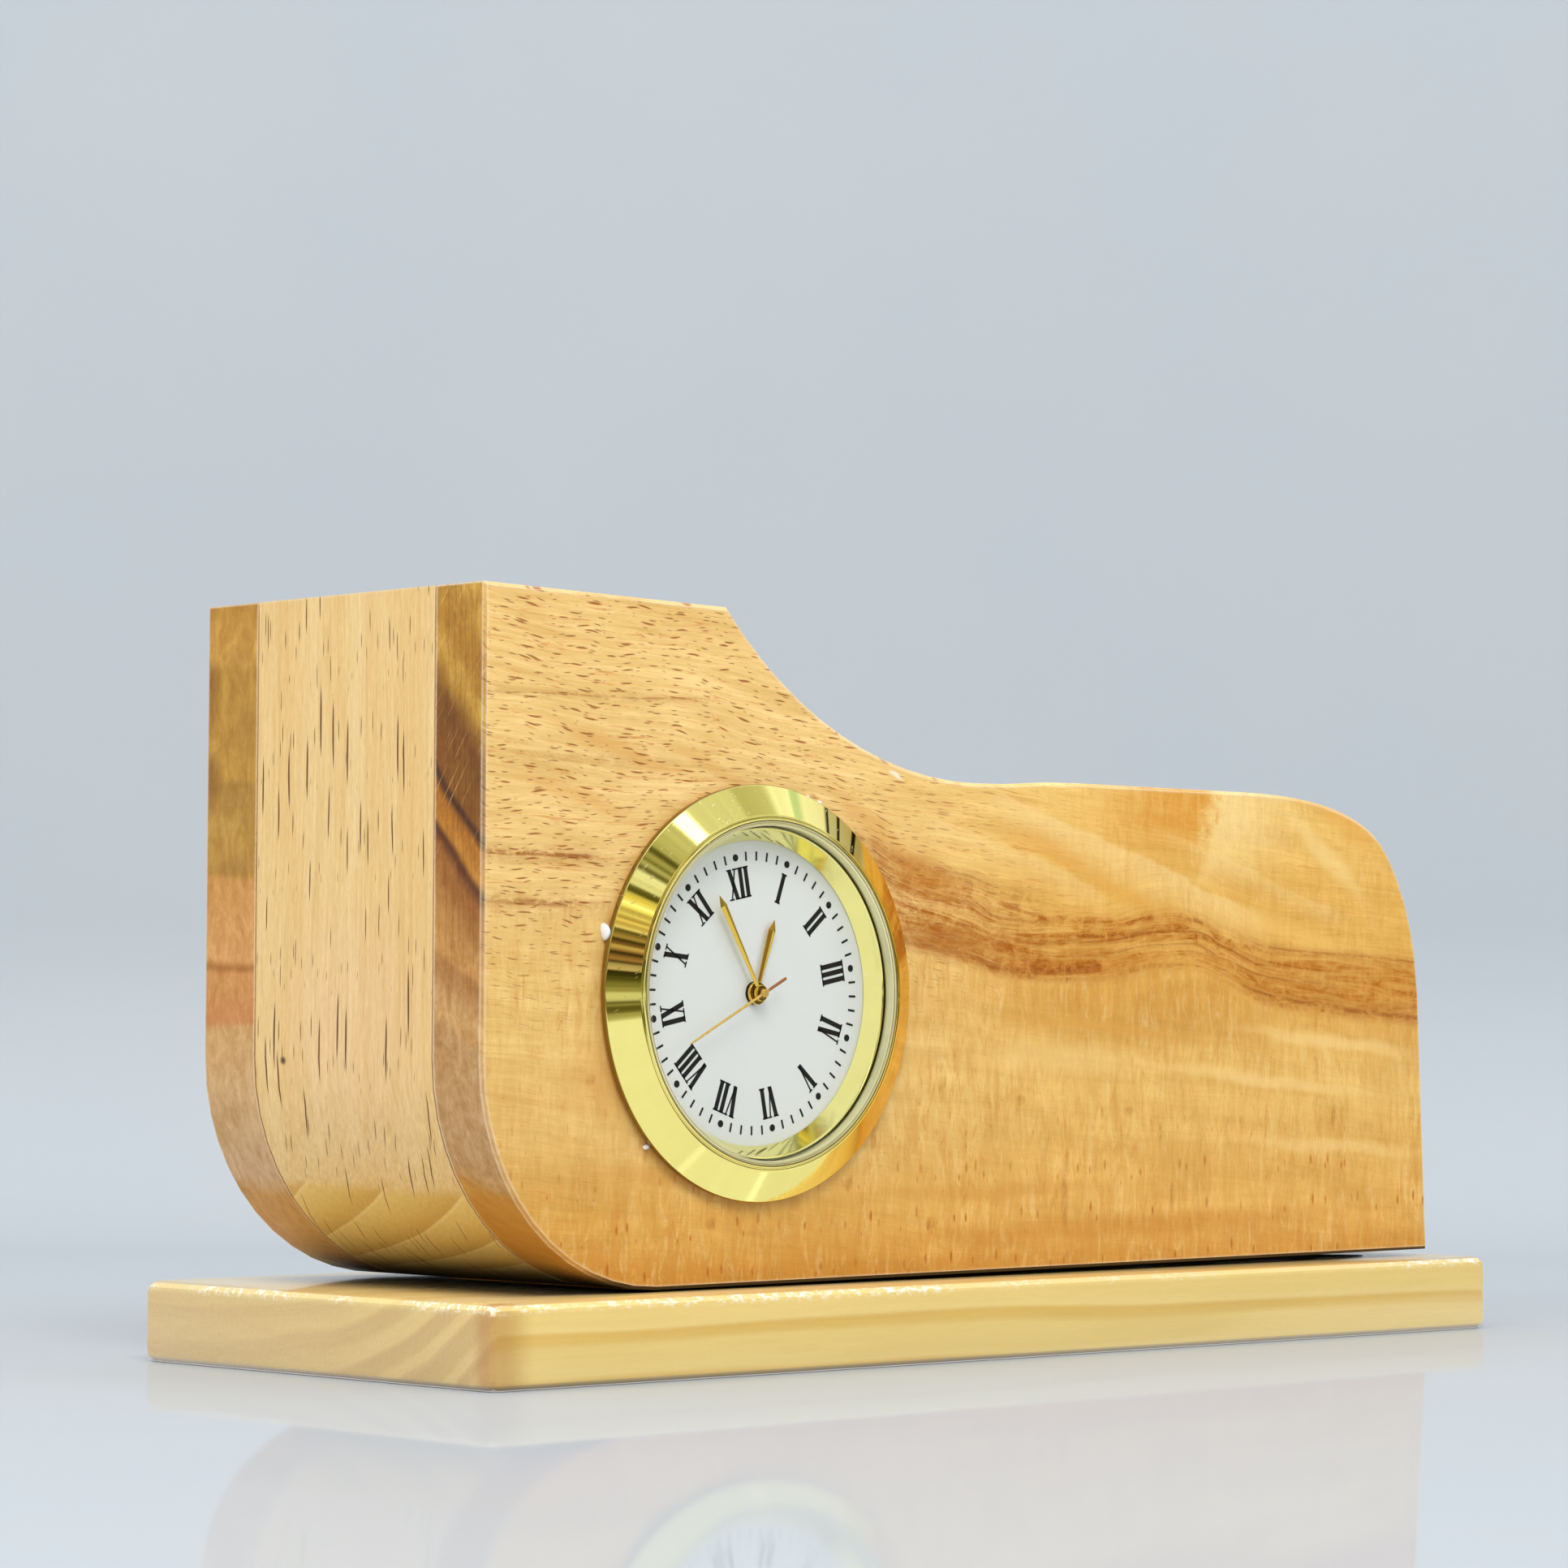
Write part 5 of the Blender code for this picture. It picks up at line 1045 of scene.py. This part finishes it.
def build_glue():
    """Beads of dried glue where the insert was pressed into the wood."""
    glue = patched(
        "glue", CLOCK_CENTRE, (1.2, 3), (240, 240, 236), (252, 252, 250), (0.25, 0.4), 30,
        subsurface_weight=0.2, subsurface_scale=0.0005,
    )
    draws = random.Random(5)
    for number, (degrees, distance, wide, tall, thick) in enumerate((
        (164, 25.3, 0.55, 1.05, 0.75), (66, 25.3, 0.45, 0.35, 0.4), (70.5, 25.2, 0.3, 0.28, 0.3),
        (51, 25.2, 0.35, 0.28, 0.3), (226, 25.2, 0.5, 0.3, 0.3),
    ), 1):
        shape = bmesh.new()
        bmesh.ops.create_icosphere(shape, subdivisions=3, radius=1.0)
        for vert in shape.verts:
            swell = 1.0 + 0.12 * sin(3.0 * vert.co.x + draws.random()) * cos(2.0 * vert.co.y)
            vert.co = Vector((vert.co.x * wide, vert.co.y * tall, max(vert.co.z, -0.35) * thick)) * swell
        across, up = polar(distance, radians(degrees - CLOCK_TURN))
        shape.transform(Matrix.Translation((across, up, 0.35 * thick)))
        add_piece(f"glue_bead_{number}", shape, glue, "holder")


def build_gap_shade_line():
    """A dark strip in the low gap between the front board and the plate: painted shade, shaped like a line
    of old glue.
    """
    # Painted shade: a dark strip that darkens the gap where its shadow falls
    glue = patched("old_glue", BODY_CORNER, (0.8, 3), (26, 16, 8), (56, 36, 18), (0.4, 0.7), 50)
    draws = random.Random(11)
    shape = bmesh.new()
    rows = []
    for step in range(25):
        share = step / 24
        along = 60.0 + 102.0 * share
        top = -0.24 + (0.6 * along / 169.9 + 0.10) * min(1.0, 6.0 * (1.0 - share) + 0.05)
        front = 5.0 + draws.uniform(-0.25, 0.25)
        rows.append([
            shape.verts.new(point)
            for point in (
                (along, front, -0.28), (along, front + 0.15, top), (along, front + 1.1, top),
                (along, front + 1.3, -0.28),
            )
        ])
    bridge(shape, rows)
    shape.faces.new(rows[0][::-1])
    shape.faces.new(rows[-1])
    corner = Matrix.Translation(BODY_CORNER)
    add_piece("gap_shade_line", shape, glue, "holder", corner, False)


build_bezel()
build_reflector()
build_hands()
build_gap_shade_line()
build_print()
build_glue()


# Floor, backdrop, lamps and camera

YAW, PITCH, ROLL = 43.544, 2.802, 0.260
CAMERA_PLACE = (-0.43608, -0.44495, 0.04197)
LENS_MM = 110.05


def grey(value):
    return (value, value, value, 1.0)


def build_stage():
    """A pale floor that sweeps up into a pale backdrop, square to the view."""
    look, spot, _, _, z = new_look("stage", (0, 0, 0))
    tooth = spot.noise(0.02, 2)
    colour = tooth.mix(rgb(184, 191, 198), rgb(188, 194, 199))
    diffuse = look.out(0, "BsdfDiffuse", {"Color": colour})
    gloss = look.out(0, "BsdfGlossy", {"Color": WHITE, "Roughness": 0.05})
    share = z.ease(1, 10, 0.2, 0)
    mixed = look.out(0, "MixShader", {0: share, 1: diffuse, 2: gloss})
    behind = look.out("Backfacing", "NewGeometry")
    clear = look.out(0, "BsdfTransparent", {"Color": WHITE})
    look.surface(look.out(0, "MixShader", {0: behind, 1: mixed, 2: clear}))
    shape = bmesh.new()
    line = [(-1.6, 0.0), (0.24, 0.0)]
    for step in range(1, 13):
        angle = radians(7.5 * step)
        line.append((0.24 + 0.06 * sin(angle), 0.06 - 0.06 * cos(angle)))
    line.append((0.30, 1.6))
    rows = []
    for away, height in line:
        rows.append([shape.verts.new((side, away, height)) for side in (-2.2, 2.2)])
    bridge(shape, rows)
    shape.transform(turn(-YAW, "Z"))
    floor = add_mesh("floor_sweep", shape, look.material)
    floor.data.shade_smooth()
    floor.visible_glossy = False


def build_lamps():
    """Soft lamps that light the holder's middle and that nothing mirrors."""
    middle = Vector((0.0, 0.0, 0.04))
    for name, place, size, watts, colour in (
        ("key", (-0.55, -0.75, 0.95), (0.7, 0.5), 8.2, (1, 0.98, 0.95)),
        ("fill", (0.75, -0.8, 0.55), (0.8, 0.6), 2.7, (0.97, 0.98, 1)),
        ("left", (-0.95, 0.05, 0.5), (0.6, 0.6), 2.8, (1, 0.98, 0.95)),
        ("top", (0, 0.15, 1.1), (0.9, 0.6), 3.6, (1, 1, 1)),
    ):
        data = bpy.data.lights.new(name, "AREA")
        data.shape = "RECTANGLE"
        data.size, data.size_y = size
        data.energy = watts
        data.color = colour
        lamp = add_object(name, data)
        aim = (Vector(place) - middle).to_track_quat("Z", "Y")
        lamp.matrix_world = Matrix.Translation(place) @ aim.to_matrix().to_4x4()
        lamp.visible_glossy = False


def gilt(value):
    """A tone that gilt metal mirrors: the darker it is, the deeper its yellow."""
    share = min(value, 1.0)
    return (value, value * (0.88 + 0.12 * share), value * (0.12 + 0.88 * share), 1.0)


def mirrored_ramp(value, kind, stops):
    """Tones of one kind along a value. Each stop is a place and a tone, or a place and a linear colour."""
    full = [(at, *(kind(*tone) if len(tone) == 1 else (*tone, 1.0))) for at, *tone in stops]
    return value.ramp(full, stops[0][0], stops[-1][0], False)


def build_room():
    """A pale plain world. Metal mirrors a room in it: a table, bands, a lamp and posts."""
    world = bpy.data.worlds.new("studio")
    bpy.context.scene.world = world
    world.use_nodes = True
    look = Look(tree=world.node_tree)
    x, y, z = look.out("Generated", "TexCoord").split()
    ahead = (y * -1).most(0.02)
    rise = z / ahead
    aside = x / ahead
    table = mirrored_ramp(rise, gilt, [
        (-3.2, 0.86), (-1.76, 0.88), (-1.745, 1.3), (-1.69, 1.25), (-1.675, 0.94), (-1.09, 0.91),
        (-1.075, 1.05), (-1.04, 1.05), (-1.025, 0.9), (-0.145, 0.93), (-0.135, 0.46), (-0.106, 0.36),
        (-0.098, 0.1), (-0.074, 0.12), (-0.066, 0.4), (-0.056, 0.1), (-0.044, 0.12), (-0.036, 0.7),
        (0, 0.66),
    ])
    low = mirrored_ramp(rise, gilt, [
        (0, 0.66), (0.01, 0.34), (0.042, 0.24), (0.07, 0.1), (0.112, 0.02), (0.122, 0.56, 0.44, 0.3),
        (0.15, 0.5, 0.38, 0.26), (0.16, 0.02), (0.176, 0.42, 0.22, 0.1), (0.196, 0.16, 0.09, 0.04),
        (0.21, 0.02), (0.226, 0.44, 0.24, 0.12), (0.24, 0.7, 0.52, 0.26), (0.252, 0.24, 0.12, 0.05),
        (0.276, 0.03), (0.292, 0.46, 0.3, 0.12), (0.326, 0.06), (0.34, 0.95, 0.78, 0.44),
        (0.36, 0.56, 0.38, 0.14), (0.376, 0.92, 0.72, 0.32), (0.392, 0.42, 0.28, 0.1),
        (0.414, 0.95, 0.78, 0.36), (0.436, 0.46, 0.34, 0.14), (0.452, 1, 0.88, 0.36),
        (0.476, 1.4, 1.3, 0.9), (0.49, 0.92, 0.76, 0.24), (0.524, 0.74, 0.6, 0.2), (0.536, 0.08),
        (0.568, 0.18), (0.578, 0.9), (0.6, 0.8),
    ])
    high = mirrored_ramp(rise, gilt, [
        (0.6, 0.8), (0.65, 0.98), (0.664, 0.56), (0.672, 0.07), (0.69, 0.14), (0.698, 0.58), (0.722, 0.4),
        (0.73, 0.1), (0.742, 0.36), (0.768, 0.42), (0.782, 0.07), (0.806, 0.12), (0.818, 0.5),
        (0.93, 0.62), (1.002, 0.66), (1.01, 3.2, 3.2, 3.2), (1.108, 3.2, 3.2, 3.2), (1.116, 0.8),
        (1.5, 0.78), (1.54, 0.58), (1.9, 0.66), (2.05, 1.15, 1.15, 1.15), (2.22, 1.2, 1.2, 1.2),
        (2.32, 0.66, 0.84, 0.66), (2.8, 0.58, 0.74, 0.56), (2.95, 1.15, 1.15, 1.15), (3.6, 1, 1, 1),
    ])
    bands = rise.ease(0.599, 0.601).mix(low, high)
    # Fine broken streaks across the bands
    streaks = look.join(rise * 70, 0, 0).noise(1, 2, 0.7)
    bands = streaks.ease(0.35, 0.65).shade(bands, 0.78, 1.16)
    steep = z / x.most(0.02)
    posts = mirrored_ramp(steep, grey, [
        (0, *gilt(0.24)[:3]), (0.3, *gilt(0.34)[:3]), (0.358, 0.46), (0.362, 0.01), (0.378, 0.01),
        (0.382, 0.52), (0.44, 0.56), (0.444, 0.01), (0.455, 0.01), (0.459, 0.56), (0.502, 0.6),
        (0.506, 0.01), (0.516, 0.04), (0.521, 0.34), (0.532, 0.92), (0.66, 1.05),
        (0.7, 0.62, 0.78, 0.66), (0.74, 0.62, 0.8, 0.64), (0.76, 1.1), (0.85, 1),
    ])
    room = aside.ease(2.3, 2.6).mix(bands, posts)
    room = rise.ease(-0.001, 0.001).mix(table, room)
    room = aside.fall(-1.6, -1).mix(room, gilt(0.92))
    dusk = aside.between(0.5, 1.5, 0.06) * rise.between(-0.45, 0.36, 0.06)
    room = dusk.mix(room, grey(0.1))
    sides = z.ease(-0.002, 0.002).mix(grey(0.9), (0.62, 0.66, 0.7, 1))
    room = y.ease(0.04, 0.08).mix(room, sides)
    mirrored = look.out("Is Glossy Ray", "LightPath")
    back = look.tree.nodes["Background"].inputs
    look.feed(back["Color"], mirrored.mix((0.95, 0.97, 1, 1), room))
    look.feed(back["Strength"], mirrored.either(0.63, 1))


def build_camera():
    """The photograph's view: a long lens, just above the table."""
    data = bpy.data.cameras.new("view")
    data.sensor_width = 36.0
    data.lens = LENS_MM
    data.clip_start = 0.01
    data.clip_end = 20.0
    camera = add_object("view", data)
    aim = turn(-YAW, "Z") @ turn(90.0 + PITCH, "X") @ turn(ROLL, "Z")
    camera.matrix_world = Matrix.Translation(CAMERA_PLACE) @ aim
    bpy.context.scene.camera = camera


build_stage()
build_lamps()
build_room()
build_camera()
bpy.context.scene.view_settings.view_transform = "Standard"
